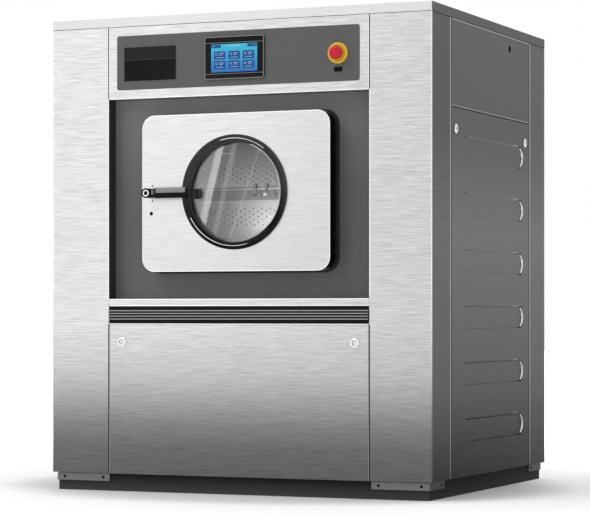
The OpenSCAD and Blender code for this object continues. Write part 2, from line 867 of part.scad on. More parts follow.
module tub_shell() {
    color("#a9acae") difference() {
        rod_x(0, axis_z, tub_or, -tub_hx, tub_hx);
        rod_x(0, axis_z, tub_r, -tub_hx - 1, tub_hx + 1);
        upright(-tub_or - 1, 2 * tub_or + 2) translate([0, axis_z]) round_rect(mouth_w, mouth_h, mouth_r);
    }
}

// End plate of the tub, with the frame under it that carries the feet
module tub_end_outline() {
    translate([0, axis_z]) circle(flange_r);
    translate([-foot_y1, foot_z]) square([2 * foot_y1, axis_z - foot_z]);
}
module tub_end(motor_side) {
    window_z = foot_z + motor_d + 90;
    window_in = 60;
    difference() {
        union() {
            difference() {
                sideways(tub_hx, tub_end_t) tub_end_outline();
                block([tub_hx - 1, -foot_y0 + window_in, foot_z + window_in],
                      [tub_ox + 1, -foot_y1 + window_in - 10, window_z]);
            }
            front_and_back() block([foot_x0 - 1, foot_y0, foot_z], [foot_x0 + foot_l, foot_y1, foot_z + foot_t]);
            front_and_back() for (y = [foot_y0, foot_y1 - 10])
                translate([foot_x0 - 1, y, foot_z + foot_t - 1]) rotate([-90, 0, 0]) mirror([0, 1, 0])
                    linear_extrude(10) polygon([[0, 0], [foot_l - 10, 0], [0, foot_l - 30]]);
            for (a = [22.5:45:359]) translate([0, 0, axis_z]) rotate([a, 0, 0])
                block([tub_ox - 1, housing_r + 34, -6], [tub_ox + 22, tub_r - 20, 6]);
        }
        rod_x(0, axis_z, shaft_d / 2 + 3, tub_hx - 1, tub_ox + 1);
        if (motor_side) rod_x(motor_y, motor_z, motor_pulley_d / 2 - 12, tub_hx - 1, tub_ox + 1);
    }
}
module tub_ends() {
    color("#8f9294") {
        tub_end(false);
        mirror([1, 0, 0]) tub_end(true);
    }
}

// Mouths from the tub to the door surrounds
module tub_throats() {
    color("#b9bcbe") both_faces() difference() {
        upright(-surround_y + sheet, surround_y - sheet) translate([0, axis_z]) difference() {
            round_rect(mouth_w + 2 * mouth_t, mouth_h + 2 * mouth_t, mouth_r + mouth_t);
            round_rect(mouth_w, mouth_h, mouth_r);
        }
        rod_x(0, axis_z, tub_or, -hx, hx);
    }
}

module bearing_housings() {
    color("#4a4c50") both_sides() difference() {
        union() {
            rod_x(0, axis_z, housing_r + 30, tub_ox, tub_ox + 14);
            rod_x(0, axis_z, housing_r, tub_ox, tub_ox + housing_l);
            for (a = [0:45:359]) translate([0, 0, axis_z]) rotate([a, 0, 0])
                rod_x(housing_r + 18, 0, 7, tub_ox + 13, tub_ox + 22);
        }
        rod_x(0, axis_z, bearing_r, tub_ox + 15, tub_ox + housing_l + 1);
        rod_x(0, axis_z, shaft_d / 2 + 3, tub_ox - 1, tub_ox + 16);
    }
}

module bearings() {
    color("#c3c6c8") both_sides() difference() {
        rod_x(0, axis_z, bearing_r, tub_ox + 15, tub_ox + housing_l - 8);
        rod_x(0, axis_z, shaft_d / 2 + run, tub_ox + 14, tub_ox + housing_l);
        translate([tub_ox + housing_l - 8, 0, axis_z]) rotate([0, 90, 0]) rotate_extrude()
            translate([(bearing_r + shaft_d / 2) / 2, 0]) square([4, 4], center = true);
    }
}

// Plate behind the door, with its mouth and the keeper of the door's handle
module door_surround() {
    x = field_x + surround_lap;
    low = recess_z - surround_lap;
    high = fascia_z + surround_lap;
    keeper_x = -handle_x - handle_cam_l;
    upright(-surround_y, sheet) difference() {
        translate([-x, low]) square([2 * x, high - low]);
        translate([0, axis_z]) round_rect(mouth_w, mouth_h, mouth_r);
    }
    block([keeper_x - 12, door_back + 1, axis_z - 12], [keeper_x - 4, -surround_y + 1, axis_z + 12]);
    block([keeper_x - 12, door_back + 1, axis_z - 12], [keeper_x + 12, door_back + 1 + keeper_t, axis_z + 12]);
}
module door_surrounds() { color("#5f5f5e") both_faces() door_surround(); }

module mouth_gaskets() {
    color("#161617") both_faces()
        upright(door_back + lay, -surround_y - door_back - lay) translate([0, axis_z]) difference() {
            round_rect(mouth_w + 2 * gasket_w, mouth_h + 2 * gasket_w, mouth_r + gasket_w);
            round_rect(mouth_w, mouth_h, mouth_r);
        }
}

// Fixed half of a door's hinge: an arm from the surround, two knuckles and the pin
module door_hinge(z) {
    reach = knuckle_h / 2 + lay;
    for (s = [-1, 1]) {
        low = s > 0 ? z + reach : z - reach - arm_h;
        translate([hinge_x, hinge_y, low]) cylinder(r = knuckle_r, h = arm_h);
        block([hinge_x - arm_t / 2, hinge_y, low], [hinge_x + arm_t / 2, -surround_y, low + arm_h]);
    }
    translate([hinge_x, hinge_y, z - reach - arm_h]) cylinder(d = hinge_pin_d, h = 2 * (reach + arm_h));
    block([hinge_x - 16, -surround_y - 3, z - reach - arm_h - 6],
          [hinge_x + 8, -surround_y, z + reach + arm_h + 6]);
}
module door_hinges() {
    color("#9a9c9e") both_faces() for (s = [-1, 1]) door_hinge(axis_z + s * hinge_spread);
}

// Motor under the tub, flanged to the inside of the left end plate
module motor() {
    flange_t = 12;
    cowl_l = 60;
    box_l = 90;
    x0 = -tub_hx;
    color("#2f5f86") difference() {
        union() {
            rod_x(motor_y, motor_z, motor_d / 2 - 6, x0, x0 + motor_l);
            rod_x(motor_y, motor_z, motor_d / 2 + 8, x0, x0 + flange_t);
            rod_x(motor_y, motor_z, motor_d / 2, x0 + motor_l - cowl_l, x0 + motor_l);
            for (a = [0:20:359]) translate([0, motor_y, motor_z]) rotate([a, 0, 0])
                block([x0 + flange_t + 8, motor_d / 2 - 10, -2], [x0 + motor_l - cowl_l - 1, motor_d / 2, 2]);
            block([x0 + cowl_l, motor_y - box_l / 2, motor_z + motor_d / 2 - 12],
                  [x0 + cowl_l + box_l, motor_y + box_l / 2, motor_z + motor_d / 2 + 22]);
        }
        rod_x(motor_y, motor_z, motor_shaft_r + run, x0 - 1, x0 + motor_seat + 4);
    }
}

// Motor pulley on its shaft
module motor_pulley() {
    color("#3a3b3d") {
        belt_pulley(motor_y, motor_z, motor_pulley_d / 2);
        rod_x(motor_y, motor_z, motor_shaft_r, pulley_x, -tub_hx + motor_seat);
    }
}

// A flat pulley with two rims, at the belt's place
module belt_pulley(y, z, r) {
    half = belt_w / 2 + 2;
    translate([pulley_x, y, z]) rotate([0, 90, 0]) rotate_extrude() polygon([
        [0, -half - 4], [r + 4, -half - 4], [r + 4, -half], [r, -half],
        [r, half], [r + 4, half], [r + 4, half + 4], [0, half + 4],
    ]);
}

module drum_pulley() {
    half = belt_w / 2 + 6;
    r = drum_pulley_d / 2;
    color("#55575a") difference() {
        belt_pulley(0, axis_z, r);
        for (s = [-1, 1]) translate([pulley_x + s * (half + 5), 0, axis_z]) rotate([0, 90, 0])
            rotate_extrude() translate([shaft_d / 2 + 20, -half + 3]) square([r - shaft_d / 2 - 38, 2 * half - 6]);
        for (a = [0:60:359]) translate([0, 0, axis_z]) rotate([a, 0, 0])
            rod_x((r + shaft_d / 2) / 2, 0, r / 5, pulley_x - 20, pulley_x + 20);
        rod_x(0, axis_z, shaft_d / 2, pulley_x - 40, pulley_x + 40);
    }
}

module drive_belt() {
    motor_at = [motor_y, motor_z - axis_z];
    color("#1a1a1a") translate([pulley_x - belt_w / 2, 0, axis_z]) rotate([90, 0, 90])
        flat_belt(motor_at, drum_pulley_d / 2, motor_pulley_d / 2, belt_t, lay, belt_w);
}

// Bellows of the air springs, three bulges between the post and the foot
module air_springs() {
    r = spring_d / 2;
    bulge = spring_h / 3;
    color("#1d1d1e") both_sides() front_and_back() translate([spring_x, spring_y, z0 + post_h]) rotate_extrude()
        union() {
            square([r - 12, spring_h]);
            for (i = [0:2]) intersection() {
                translate([r - 25, (i + 0.5) * bulge]) circle(r = 25);
                translate([0, i * bulge]) square([r + 1, bulge]);
            }
        }
}

// Lower halves of the dampers, standing on the base frame
module damper_at() {
    both_sides() front_and_back() translate([spring_x, damper_y, 0]) children();
}
module damper_tubes() {
    tube_h = (foot_z - z0) * 0.6;
    color("#35373a") damper_at() difference() {
        union() {
            translate([0, 0, z0]) cylinder(d = damper_d + 24, h = 8);
            translate([0, 0, z0]) cylinder(d = damper_d, h = tube_h);
        }
        translate([0, 0, z0 + 12]) cylinder(r = rod_d / 2 + run, h = tube_h);
    }
}
module damper_rods() {
    color("#d5d7d8") damper_at() {
        translate([0, 0, foot_z - 8]) cylinder(d = damper_d + 14, h = 8);
        translate([0, 0, z0 + 12 + 3 * float_travel]) cylinder(d = rod_d, h = foot_z - z0 - 14 - 3 * float_travel);
    }
}

/* Drum */

// Lugs that hold a leaf's pins; a negative angle gives the lower leaf's
module leaf_lugs(a) {
    span = leaf_knuckle_l / 2 + 1;
    lug_h = leaf_knuckle_r + 6;
    at_angle(a) for (x = [-leaf_knuckle_x, leaf_knuckle_x]) {
        for (s = [-1, 1]) {
            x0 = x + s * span;
            block([x0, -hinge_r - leaf_knuckle_r, axis_z - 5], [x0 + s * lug_t, -hinge_r + lug_h - 3, axis_z + 5]);
        }
        rod_x(-hinge_r, axis_z, leaf_pin_r, x - span - 1, x + span + 1);
    }
}

// Rolled shell with its hatch opening, lugs and lifters
module drum_shell() {
    half = drum_len / 2;
    r = drum_r - drum_t;
    color("#c8cacb") {
        difference() {
            rod_x(0, axis_z, drum_r, -half, half);
            rod_x(0, axis_z, r, -half - 1, half + 1);
            arc_wall(r - 5, drum_r + 5, -hatch_angle - leaf_gap, hatch_angle + leaf_gap,
                     -hatch_w / 2 - 1, hatch_w / 2 + 1);
            shell_holes();
        }
        leaf_lugs(hinge_angle);
        leaf_lugs(-hinge_angle);
        for (a = [90, 180, 270]) at_angle(a)
            translate([-half + end_rim + 2, 0, axis_z]) rotate([90, 0, 90]) linear_extrude(2 * (half - end_rim - 2))
                polygon([[-r - 1, -lifter_foot / 2], [-r + lifter_h, -12], [-r + lifter_h, 12],
                         [-r - 1, lifter_foot / 2]]);
    }
}

// Pressed end of the drum with its welded shaft
module drum_end(shaft_to) {
    half = drum_len / 2;
    r = drum_r - drum_t;
    boss_r = shaft_d / 2 + 50;
    translate([0, 0, axis_z]) rotate([0, 90, 0]) rotate_extrude() polygon([
        [0, half - end_dish], [boss_r, half - end_dish], [boss_r + end_dish, half - 8],
        [r - 30, half - 8], [r - end_rim, half - end_rim], [r, half - end_rim],
        [r, half - 4], [r - 10, half - 4], [r - 26, half + 2], [shaft_d / 2 + 60, half + 2],
        [shaft_d / 2 + 20, half + 6], [shaft_d / 2, half + 6], [shaft_d / 2, shaft_to], [0, shaft_to],
    ]);
}
module drum_ends() {
    color("#b4b6b8") {
        drum_end(shaft_end);
        mirror([1, 0, 0]) drum_end(-pulley_x + belt_w / 2 + 12);
    }
}

// A row of holes along the drum's sheet, half a pitch aside if it is an odd one
module hole_row(a, half_w, pitch, odd) {
    half_row = floor(half_w / pitch);
    for (i = [-half_row:half_row - odd]) at_angle(a) translate([(i + odd / 2) * pitch, 0, 0])
        rod_y(0, axis_z, hole_d / 2, -drum_r - 2, -drum_r + drum_t + 3);
}

// The holes of a leaf: staggered rows between its band and its hinge
module leaf_holes(s) {
    for (row = [0:row_count - 1])
        hole_row(s * (hole_first + row * row_pitch) / drum_r * 180 / PI, hatch_w / 2 - 12, hole_pitch, row % 2);
}

// The holes of the shell: rows between the lifters, twice as far apart as a leaf's
module shell_holes() {
    for (third = [0:3], row = [0:2])
        hole_row(90 * third + 45 + (row - 1) * 15, drum_len / 2 - end_rim - 20, 2 * hole_pitch, row % 2);
}

// A leaf's knuckles and the straps that join them to its outside
module leaf_knuckles(a) {
    s = a > 0 ? -1 : 1;
    at_angle(a) for (x = [-leaf_knuckle_x, leaf_knuckle_x]) {
        x0 = x - leaf_knuckle_l / 2;
        x1 = x + leaf_knuckle_l / 2;
        rod_x(-hinge_r, axis_z, leaf_knuckle_r, x0, x1);
        block([x0, -hinge_r - 1, axis_z], [x1, -hinge_r - leaf_knuckle_r + 0.5, axis_z + s * 26]);
        block([x0 + 1, -hinge_r - 2, axis_z + s * 14], [x1 - 1, -drum_r + 1, axis_z + s * 25]);
    }
}
module leaf_pin_bores(a) {
    at_angle(a) rod_x(-hinge_r, axis_z, leaf_pin_r + run, -hatch_w, hatch_w);
}

// Upper leaf: plain sheet with two notches for the latch's fingers
module hatch_upper() {
    notch_h = finger_l + 3;
    color("#9fa1a3") difference() {
        union() {
            arc_wall(drum_r - drum_t, drum_r, split_angle + leaf_gap, hatch_angle, -hatch_w / 2, hatch_w / 2);
            leaf_knuckles(hinge_angle);
        }
        leaf_pin_bores(hinge_angle);
        leaf_holes(1);
        for (x = [-finger_x, finger_x])
            block([x - finger_w / 2 - finger_room, -drum_r - 5, axis_z],
                  [x + finger_w / 2 + finger_room, -drum_r + 10, axis_z + band_h / 2 + notch_h]);
    }
}

// Lower leaf: sheet with the raised band and the guides of the latch
module hatch_lower() {
    guide_h = latch_bar_h + 8;
    band_angle = asin(band_h / 2 / drum_r);
    band_hx = hatch_w / 2 - 4;
    color("#d3d4d5") difference() {
        union() {
            arc_wall(drum_r - drum_t, drum_r, -hatch_angle, split_angle - leaf_gap, -hatch_w / 2, hatch_w / 2);
            arc_wall(drum_r - 1, drum_r + band_t, -band_angle, band_angle, -band_hx, band_hx);
            leaf_knuckles(-hinge_angle);
            for (x = [-guide_x, guide_x])
                block([x - guide_l / 2, latch_y - latch_t - 3.5, axis_z - guide_h / 2],
                      [x + guide_l / 2, -drum_r - 1, axis_z + guide_h / 2]);
        }
        leaf_pin_bores(-hinge_angle);
        leaf_holes(-1);
        block([-guide_x - guide_l, latch_y - latch_t - lay, axis_z - latch_bar_h / 2 - lay],
              [guide_x + guide_l, latch_y + lay, axis_z + latch_bar_h / 2 + lay]);
    }
}

// Latch: a bar in the guides, a knob, and two fingers that pass over the upper leaf
module hatch_latch() {
    color("#e4e5e6") {
        block([-latch_hx, latch_y - latch_t, axis_z - latch_bar_h / 2],
              [latch_hx, latch_y, axis_z + latch_bar_h / 2]);
        for (x = [-finger_x, finger_x])
            block([x - finger_w / 2, latch_y - latch_t, axis_z],
                  [x + finger_w / 2, latch_y, axis_z + band_h / 2 + finger_l]);
        rod_y(0, axis_z, 8, latch_y - latch_t - 8, latch_y - latch_t + 1);
    }
}

/* Doors */

// Door of the loading side: a hollow pan with a window well, hinge pockets and knuckles
module door() {
    inner_w = door_w - 2 * door_skin;
    inner_h = door_h - 2 * door_skin;
    pocket_z = knuckle_h / 2 + 14;
    arm_z = knuckle_h / 2 + lay + arm_h / 2;
    arm_slot = arm_h + 3;
    color("#dededc") {
        difference() {
            upright(door_y, door_t) translate([0, axis_z]) round_rect(door_w, door_h, door_r);
            upright(door_y + door_skin, door_t - 2 * door_skin) translate([0, axis_z]) difference() {
                round_rect(inner_w, inner_h, door_r - door_skin);
                circle(well_r + door_skin);
                translate([-handle_x, 0]) circle(hub_d / 2 + 2);
            }
            rod_y(0, axis_z, well_r, door_y - 1, door_back + 1);
            rod_y(-handle_x, axis_z, spindle_d / 2 + run, door_y - 1, door_back + 1);
            for (s = [-1, 1]) {
                z = axis_z + s * hinge_spread;
                block([hinge_x - knuckle_r - 2, hinge_y - knuckle_r - 2, z - pocket_z],
                      [hinge_x + knuckle_r + 0.6, door_back + 1, z + pocket_z]);
                for (e = [-1, 1])
                    block([hinge_x, hinge_y - arm_t - 2, z + e * arm_z - arm_slot / 2],
                          [door_w / 2 + 1, door_back + 1, z + e * arm_z + arm_slot / 2]);
            }
        }
        for (s = [-1, 1]) translate([0, 0, axis_z + s * hinge_spread]) difference() {
            union() {
                translate([hinge_x, hinge_y, -knuckle_h / 2]) cylinder(r = knuckle_r, h = knuckle_h);
                block([hinge_x - knuckle_r, door_y + 1, -knuckle_h / 2],
                      [hinge_x + knuckle_r, hinge_y, knuckle_h / 2]);
            }
            translate([hinge_x, hinge_y, -knuckle_h]) cylinder(d = hinge_pin_d + 2 * run, h = 2 * knuckle_h);
        }
    }
}

// Window ring in two steps with a groove between them, and the seat behind which the glass lies
module window_ring() {
    color("#151517") translate([0, door_y, axis_z]) rotate([90, 0, 0]) rotate_extrude() polygon([
        [window_r, -14], [glass_r + 3, -14], [glass_r + 3, 0], [ring_r, 0], [ring_r, ring_proud - 5],
        [ring_r - 4, ring_proud - 3], [ring_r - 9, ring_proud - 2], [ring_r - 11, ring_proud - 4],
        [ring_r - 12.5, ring_proud - 4], [ring_r - 14, ring_proud], [window_r + 3, ring_proud - 2],
        [window_r, ring_proud - 8],
    ]);
}

module window_glass() {
    color("#9fb4bd", 0.35) rod_y(0, axis_z, glass_r, door_y + 14, door_y + 14 + glass_t);
}

// Handle on the loading door, at rest: the grip points to the door's middle
module handle() {
    grip_x = hub_d / 2 + 16;
    grip_y = door_y - hub_l;
    color("#1a1a1c") translate([-handle_x, 0, axis_z]) {
        difference() {
            union() {
                rod_y(0, 0, hub_d / 2, grip_y, door_y - lay);
                rod_y(0, 0, spindle_d / 2, door_y - 1, handle_cam_y + handle_cam_t);
                block([0, grip_y + 2, -14.5], [grip_x + 8, grip_y + grip_t - 2, 14.5]);
                sideways(grip_x, grip_l) translate([grip_y + grip_t / 2, 0]) round_rect(grip_t, grip_h, 10);
                sideways(grip_x - 2, grip_l + 4) translate([grip_y + grip_t / 2, 0])
                    round_rect(grip_t - 3, grip_h - 3, 8.5);
                block([-handle_cam_w / 2, handle_cam_y, -handle_cam_l],
                      [handle_cam_w / 2, handle_cam_y + handle_cam_t, 0]);
                rod_y(0, 0, handle_cam_w / 2, handle_cam_y, handle_cam_y + handle_cam_t);
            }
            rod_y(0, 0, hub_d / 2 - 5, grip_y - 1, grip_y + 2);
        }
        rod_y(0, 0, hub_d / 2 - 9, grip_y + 0.8, grip_y + 3);
    }
}

module load_door() { door(); }
module load_ring() { window_ring(); }
module load_glass() { window_glass(); }
module load_handle() { handle(); }
module unload_door() { rotate([0, 0, 180]) door(); }
module unload_ring() { rotate([0, 0, 180]) window_ring(); }
module unload_glass() { rotate([0, 0, 180]) window_glass(); }
module unload_handle() { rotate([0, 0, 180]) handle(); }

base_frame();
base_brackets();
front_columns();
rear_columns();
top_cover();
control_fascia();
control_inlay();
blank_plate();
touch_panel();
touch_screen();
estop_collars();
service_port();
control_box();
sill_strips();
vent_louvres();
service_panels();
upper_side_panels();
lower_side_panels();
rear_fascia();
water_inlets();
vent_pipe();
drain_pipe();
damper_tubes();
lock_front_left();
lock_front_right();
lock_rear_left();
lock_rear_right();
lock_right_front();
lock_right_rear();
lock_left_front();
lock_left_rear();
tub_shell();
tub_ends();
tub_throats();
bearing_housings();
bearings();
door_surrounds();
mouth_gaskets();
door_hinges();
motor();
air_springs();
damper_rods();
drive_belt();
drum_shell();
drum_ends();
drum_pulley();
motor_pulley();
hatch_upper();
hatch_lower();
hatch_latch();
load_door();
load_ring();
load_glass();
load_handle();
unload_door();
unload_ring();
unload_glass();
unload_handle();
estop_button_front();
estop_button_rear();
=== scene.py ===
"""Looks of the barrier washer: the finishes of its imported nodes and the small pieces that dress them."""

import logging
import math
from dataclasses import dataclass, field
from enum import Enum
from typing import Any, Dict, List, Optional, Sequence, Tuple

import bmesh
import bpy
from mathutils import Matrix, Vector


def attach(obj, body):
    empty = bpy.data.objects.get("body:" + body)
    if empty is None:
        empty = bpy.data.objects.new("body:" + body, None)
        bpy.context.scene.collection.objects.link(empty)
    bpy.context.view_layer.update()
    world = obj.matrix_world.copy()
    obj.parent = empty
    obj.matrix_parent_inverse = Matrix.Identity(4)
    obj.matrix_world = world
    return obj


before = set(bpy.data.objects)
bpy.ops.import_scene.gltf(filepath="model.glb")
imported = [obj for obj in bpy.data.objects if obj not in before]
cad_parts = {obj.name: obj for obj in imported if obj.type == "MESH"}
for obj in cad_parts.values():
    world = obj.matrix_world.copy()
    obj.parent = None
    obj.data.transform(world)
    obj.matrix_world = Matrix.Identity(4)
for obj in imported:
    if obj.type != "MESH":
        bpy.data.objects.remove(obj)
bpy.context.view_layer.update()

LOG = logging.getLogger("washer")
MM = 0.001
SHARP_DEG = 35.0  # faces that meet at more than this stay sharp
WEAR = 0.12  # share by which the roughness follows the grain
HALF_TURN = Matrix.Rotation(math.pi, 4, "Z")
Socket = bpy.types.NodeSocket
Tree = bpy.types.NodeTree
Node = bpy.types.Node
Solid = bmesh.types.BMesh
Pair = Tuple[float, float]
Point = Tuple[float, float, float]
Four = Tuple[float, float, float, float]
Part = Tuple[Any, ...]
Colour = Four
Stops = Tuple[Tuple[float, str], ...]


class Side(Enum):
    """The two working faces, with the body that each face's door is."""

    LOAD = "load_door"
    UNLOAD = "unload_door"

    @property
    def place(self) -> Matrix:
        """The matrix that carries a piece from the loading face to this one."""
        return Matrix() if self is Side.LOAD else HALF_TURN

    @property
    def handle(self) -> str:
        """The body of this face's door handle."""
        return self.value.replace("door", "handle")


def linear(colour: str) -> Colour:
    """Turns an sRGB colour "#rrggbb" into Blender's linear one, with an alpha of 1."""
    parts = [int(colour[i : i + 2], 16) / 255 for i in (1, 3, 5)]
    r, g, b = [c / 12.92 if c <= 0.04045 else ((c + 0.055) / 1.055) ** 2.4 for c in parts]
    return r, g, b, 1.0


def fill(node: Node, settings: Dict[Any, Any]) -> None:
    """Sets a node's properties by name, and its unlinked inputs by name or number."""
    for key, value in settings.items():
        if isinstance(key, str) and hasattr(node, key):
            setattr(node, key, value)
        else:
            node.inputs[key].default_value = value


def add(tree: Tree, kind: str, settings: Optional[Dict[Any, Any]] = None,
        links: Optional[Dict[Any, Socket]] = None) -> Node:
    """Adds a node with its settings and links.

    Args:
        tree: The node tree.
        kind: The node's type without the leading "ShaderNode".
        settings: Properties by name, and unlinked inputs by name or number.
        links: Output sockets by the name or number of the input that they feed.
    """
    node = tree.nodes.new("ShaderNode" + kind)
    fill(node, settings or {})
    for key, socket in (links or {}).items():
        tree.links.new(socket, node.inputs[key])
    return node


def calc(tree: Tree, operation: str, *values: Socket) -> Socket:
    """Adds a sum on sockets, by the name of its operation."""
    return add(tree, "Math", {"operation": operation}, dict(enumerate(values))).outputs[0]


def remap(tree: Tree, value: Socket, start: float, end: float, low: float = 0.0, high: float = 1.0) -> Socket:
    """Carries a value from the range start to end over to the range low to high, and holds it there."""
    return add(tree, "MapRange", {1: start, 2: end, 3: low, 4: high}, {0: value}).outputs[0]


def blend(tree: Tree, share: Optional[Socket], first: Socket, second: Socket, kind: str = "MIX") -> Socket:
    """Blends a second colour over a first by a share, or wholly where there is none."""
    settings, links = {"data_type": "RGBA", "blend_type": kind}, {6: first, 7: second}
    if share is None:
        settings[0] = 1.0
    else:
        links[0] = share
    return add(tree, "Mix", settings, links).outputs[2]


def ramp(tree: Tree, value: Socket, reach: float, colours: Sequence[Tuple[float, Colour]]) -> Socket:
    """A colour that changes with a value, from 0 to its reach, through the given ones."""
    node = add(tree, "ValToRGB", links={0: remap(tree, value, 0.0, reach)})
    stops = node.color_ramp.elements
    while len(stops) < len(colours):
        stops.new(0.5)
    for stop, (place, colour) in zip(stops, colours):
        stop.position, stop.color = place / reach, colour
    return node.outputs[0]


def rays(tree: Tree, *kinds: str) -> Socket:
    """1 for rays of any of the given kinds, else 0."""
    path = add(tree, "LightPath")
    share = path.outputs[kinds[0]]
    for kind in kinds[1:]:
        share = calc(tree, "MAXIMUM", share, path.outputs[kind])
    return share


def empty_tree(owner: Any) -> Tree:
    """Gives a material or a world an empty node tree."""
    owner.use_nodes = True
    owner.node_tree.nodes.clear()
    return owner.node_tree


@dataclass(frozen=True)
class Finish:
    """A plain finish of one colour with a fine grain; other finishes add their own pattern.

    Attributes:
        name: The material's name.
        colour: The surface's colour as "#rrggbb".
        roughness: Roughness of the surface.
        metallic: 1 for bare metal.
        grain_mm: Size of the grain in millimetres.
        relief_mm: Height of the grain.
        mottle: How much the grain varies the colour.
        sheen: Strength of the surface's plain reflection; 0.5 is glass-like, less is duller.
    """

    name: str
    colour: str
    roughness: float = 0.5
    metallic: float = 0.0
    grain_mm: float = 3.0
    relief_mm: float = 0.05
    mottle: float = 0.06
    sheen: float = 0.5

    def build(self) -> bpy.types.Material:
        """Makes the material once and returns it."""
        made = bpy.data.materials.get(self.name)
        if made:
            return made
        made = bpy.data.materials.new(self.name)
        tree = empty_tree(made)
        shader = add(tree, "BsdfPrincipled", {"Metallic": self.metallic, "Roughness": self.roughness,
                                              "Specular IOR Level": self.sheen})
        self.wire(tree, shader, add(tree, "TexCoord").outputs["Object"])
        surface = self.surface(tree, shader)
        add(tree, "OutputMaterial", links={"Surface": surface})
        return made

    def surface(self, tree: Tree, shader: Node) -> Socket:
        """The socket that the output takes."""
        return shader.outputs[0]

    def grain(self, tree: Tree, coords: Socket, scale: Sequence[float]) -> Socket:
        """A noise with the given frequency along each axis, in cycles a metre."""
        stretched = add(tree, "Mapping", {"Scale": tuple(scale)}, {"Vector": coords})
        return add(tree, "TexNoise", {"Scale": 1.0, "Detail": 3.0, "Roughness": 0.6},
                   {"Vector": stretched.outputs[0]}).outputs["Fac"]

    def vary(self, tree: Tree, colour: Socket, noise: Socket, amount: float) -> Socket:
        """Lightens and darkens a colour by a noise about 0.5, at the most by the given share of it."""
        return blend(tree, None, colour, remap(tree, noise, 0.25, 0.75, 1 - amount, 1 + amount), "MULTIPLY")

    def wear(self, tree: Tree, shader: Node, noise: Socket) -> None:
        """Lets the roughness follow the grain, so that a highlight breaks up as on a used surface."""
        rough = remap(tree, noise, 0.3, 0.7, self.roughness * (1 - WEAR), self.roughness * (1 + WEAR))
        tree.links.new(rough, shader.inputs["Roughness"])

    def wire(self, tree: Tree, shader: Node, coords: Socket) -> None:
        """Links the pattern to the shader: a mottle of the colour, and the grain's relief."""
        noise = self.grain(tree, coords, [1000 / self.grain_mm] * 3)
        plain = add(tree, "RGB")
        plain.outputs[0].default_value = linear(self.colour)
        tree.links.new(self.vary(tree, plain.outputs[0], noise, self.mottle), shader.inputs["Base Color"])
        self.wear(tree, shader, noise)
        bump = add(tree, "Bump", {"Strength": 0.6, "Distance": self.relief_mm * MM}, {"Height": noise})
        tree.links.new(bump.outputs[0], shader.inputs["Normal"])


@dataclass(frozen=True)
class BrushedSheet(Finish):
    """Stainless sheet brushed along its length: long fine lines, and painted shade that darkens it towards the floor.

    Attributes:
        tones: The colour of a working face at heights above the floor in metres, which paints shade and light by
            height.
        side_tones: The colour where the sheet turns to the machine's sides, if it differs: painted shade on the sides.
        line_mm: Thickness of a brushed line; a real one is 0.1 mm and is drawn coarser, so that it shows.
        line_len_mm: Length of a brushed line.
        top: Height in metres at which the tones end.
        fall: Share of painted shade by which a working face darkens from its left edge to its right one, above the
            dark foot.
        edge: Strength of the reflection at a grazing angle, which the grain of a brushed sheet weakens.
        half_x: Half the width in metres over which it darkens; below 0, it darkens from right to left.
        side_turn: The sideways share of the surface's normal where the side tones start and where they are whole.
        foot: Heights in metres between which the fall from side to side sets in.
        sway: How far the brushed lines wander up and down, in metres.
    """

    tones: Stops = ()
    side_tones: Stops = ()
    line_mm: float = 2.8
    line_len_mm: float = 80.0
    top: float = 1.6
    fall: float = 0.0
    edge: float = 0.6
    half_x: float = 0.672
    side_turn: Pair = (0.45, 0.7)
    foot: Pair = (0.2, 0.55)
    sway: float = 0.007

    def tone(self, tree: Tree, height: Socket, tones: Stops) -> Socket:
        """A colour that changes with height through the given tones."""
        return ramp(tree, height, self.top, [(z, linear(colour)) for z, colour in tones])

    def wire(self, tree: Tree, shader: Node, coords: Socket) -> None:
        """Links the tones and side tones with their painted shade, the brushed lines and their relief to the shader.
        """
        place = add(tree, "SeparateXYZ", links={0: coords})
        height = place.outputs[2]
        colour = self.tone(tree, height, self.tones or ((0.0, self.colour), (self.top, self.colour)))
        # Painted shade where the sheet turns to the sides.
        if self.side_tones:
            facing = add(tree, "SeparateXYZ", links={0: add(tree, "TexCoord").outputs["Normal"]}).outputs[0]
            share = remap(tree, calc(tree, "ABSOLUTE", facing), *self.side_turn)
            colour = blend(tree, share, colour, self.tone(tree, height, self.side_tones))
        # Painted shade from one edge of a working face to the other.
        if self.fall > 0:
            across = calc(tree, "MULTIPLY", place.outputs[0], calc(tree, "SIGN", place.outputs[1]))
            share = remap(tree, across, -self.half_x, self.half_x, 1 - self.fall, 1.0)
            colour = blend(tree, remap(tree, height, *self.foot), colour, share, "MULTIPLY")
        fill(shader, {"Specular Tint": (self.edge, self.edge, self.edge, 1.0)})
        along = 1000 / self.line_len_mm
        wave = add(tree, "TexNoise", {"Scale": 9.0, "Detail": 1.0}, {"Vector": coords})
        bend = add(tree, "VectorMath", {"operation": "MULTIPLY", 1: (0.0, 0.0, self.sway)}, {0: wave.outputs["Color"]})
        bent = add(tree, "VectorMath", {"operation": "ADD"}, {0: coords, 1: bend.outputs[0]})
        lines = self.grain(tree, bent.outputs[0], (along, along, 1000 / self.line_mm))
        tree.links.new(self.vary(tree, colour, lines, self.mottle), shader.inputs["Base Color"])
        self.wear(tree, shader, lines)
        bump = add(tree, "Bump", {"Strength": 0.35, "Distance": self.relief_mm * MM}, {"Height": lines})
        tree.links.new(bump.outputs[0], shader.inputs["Normal"])


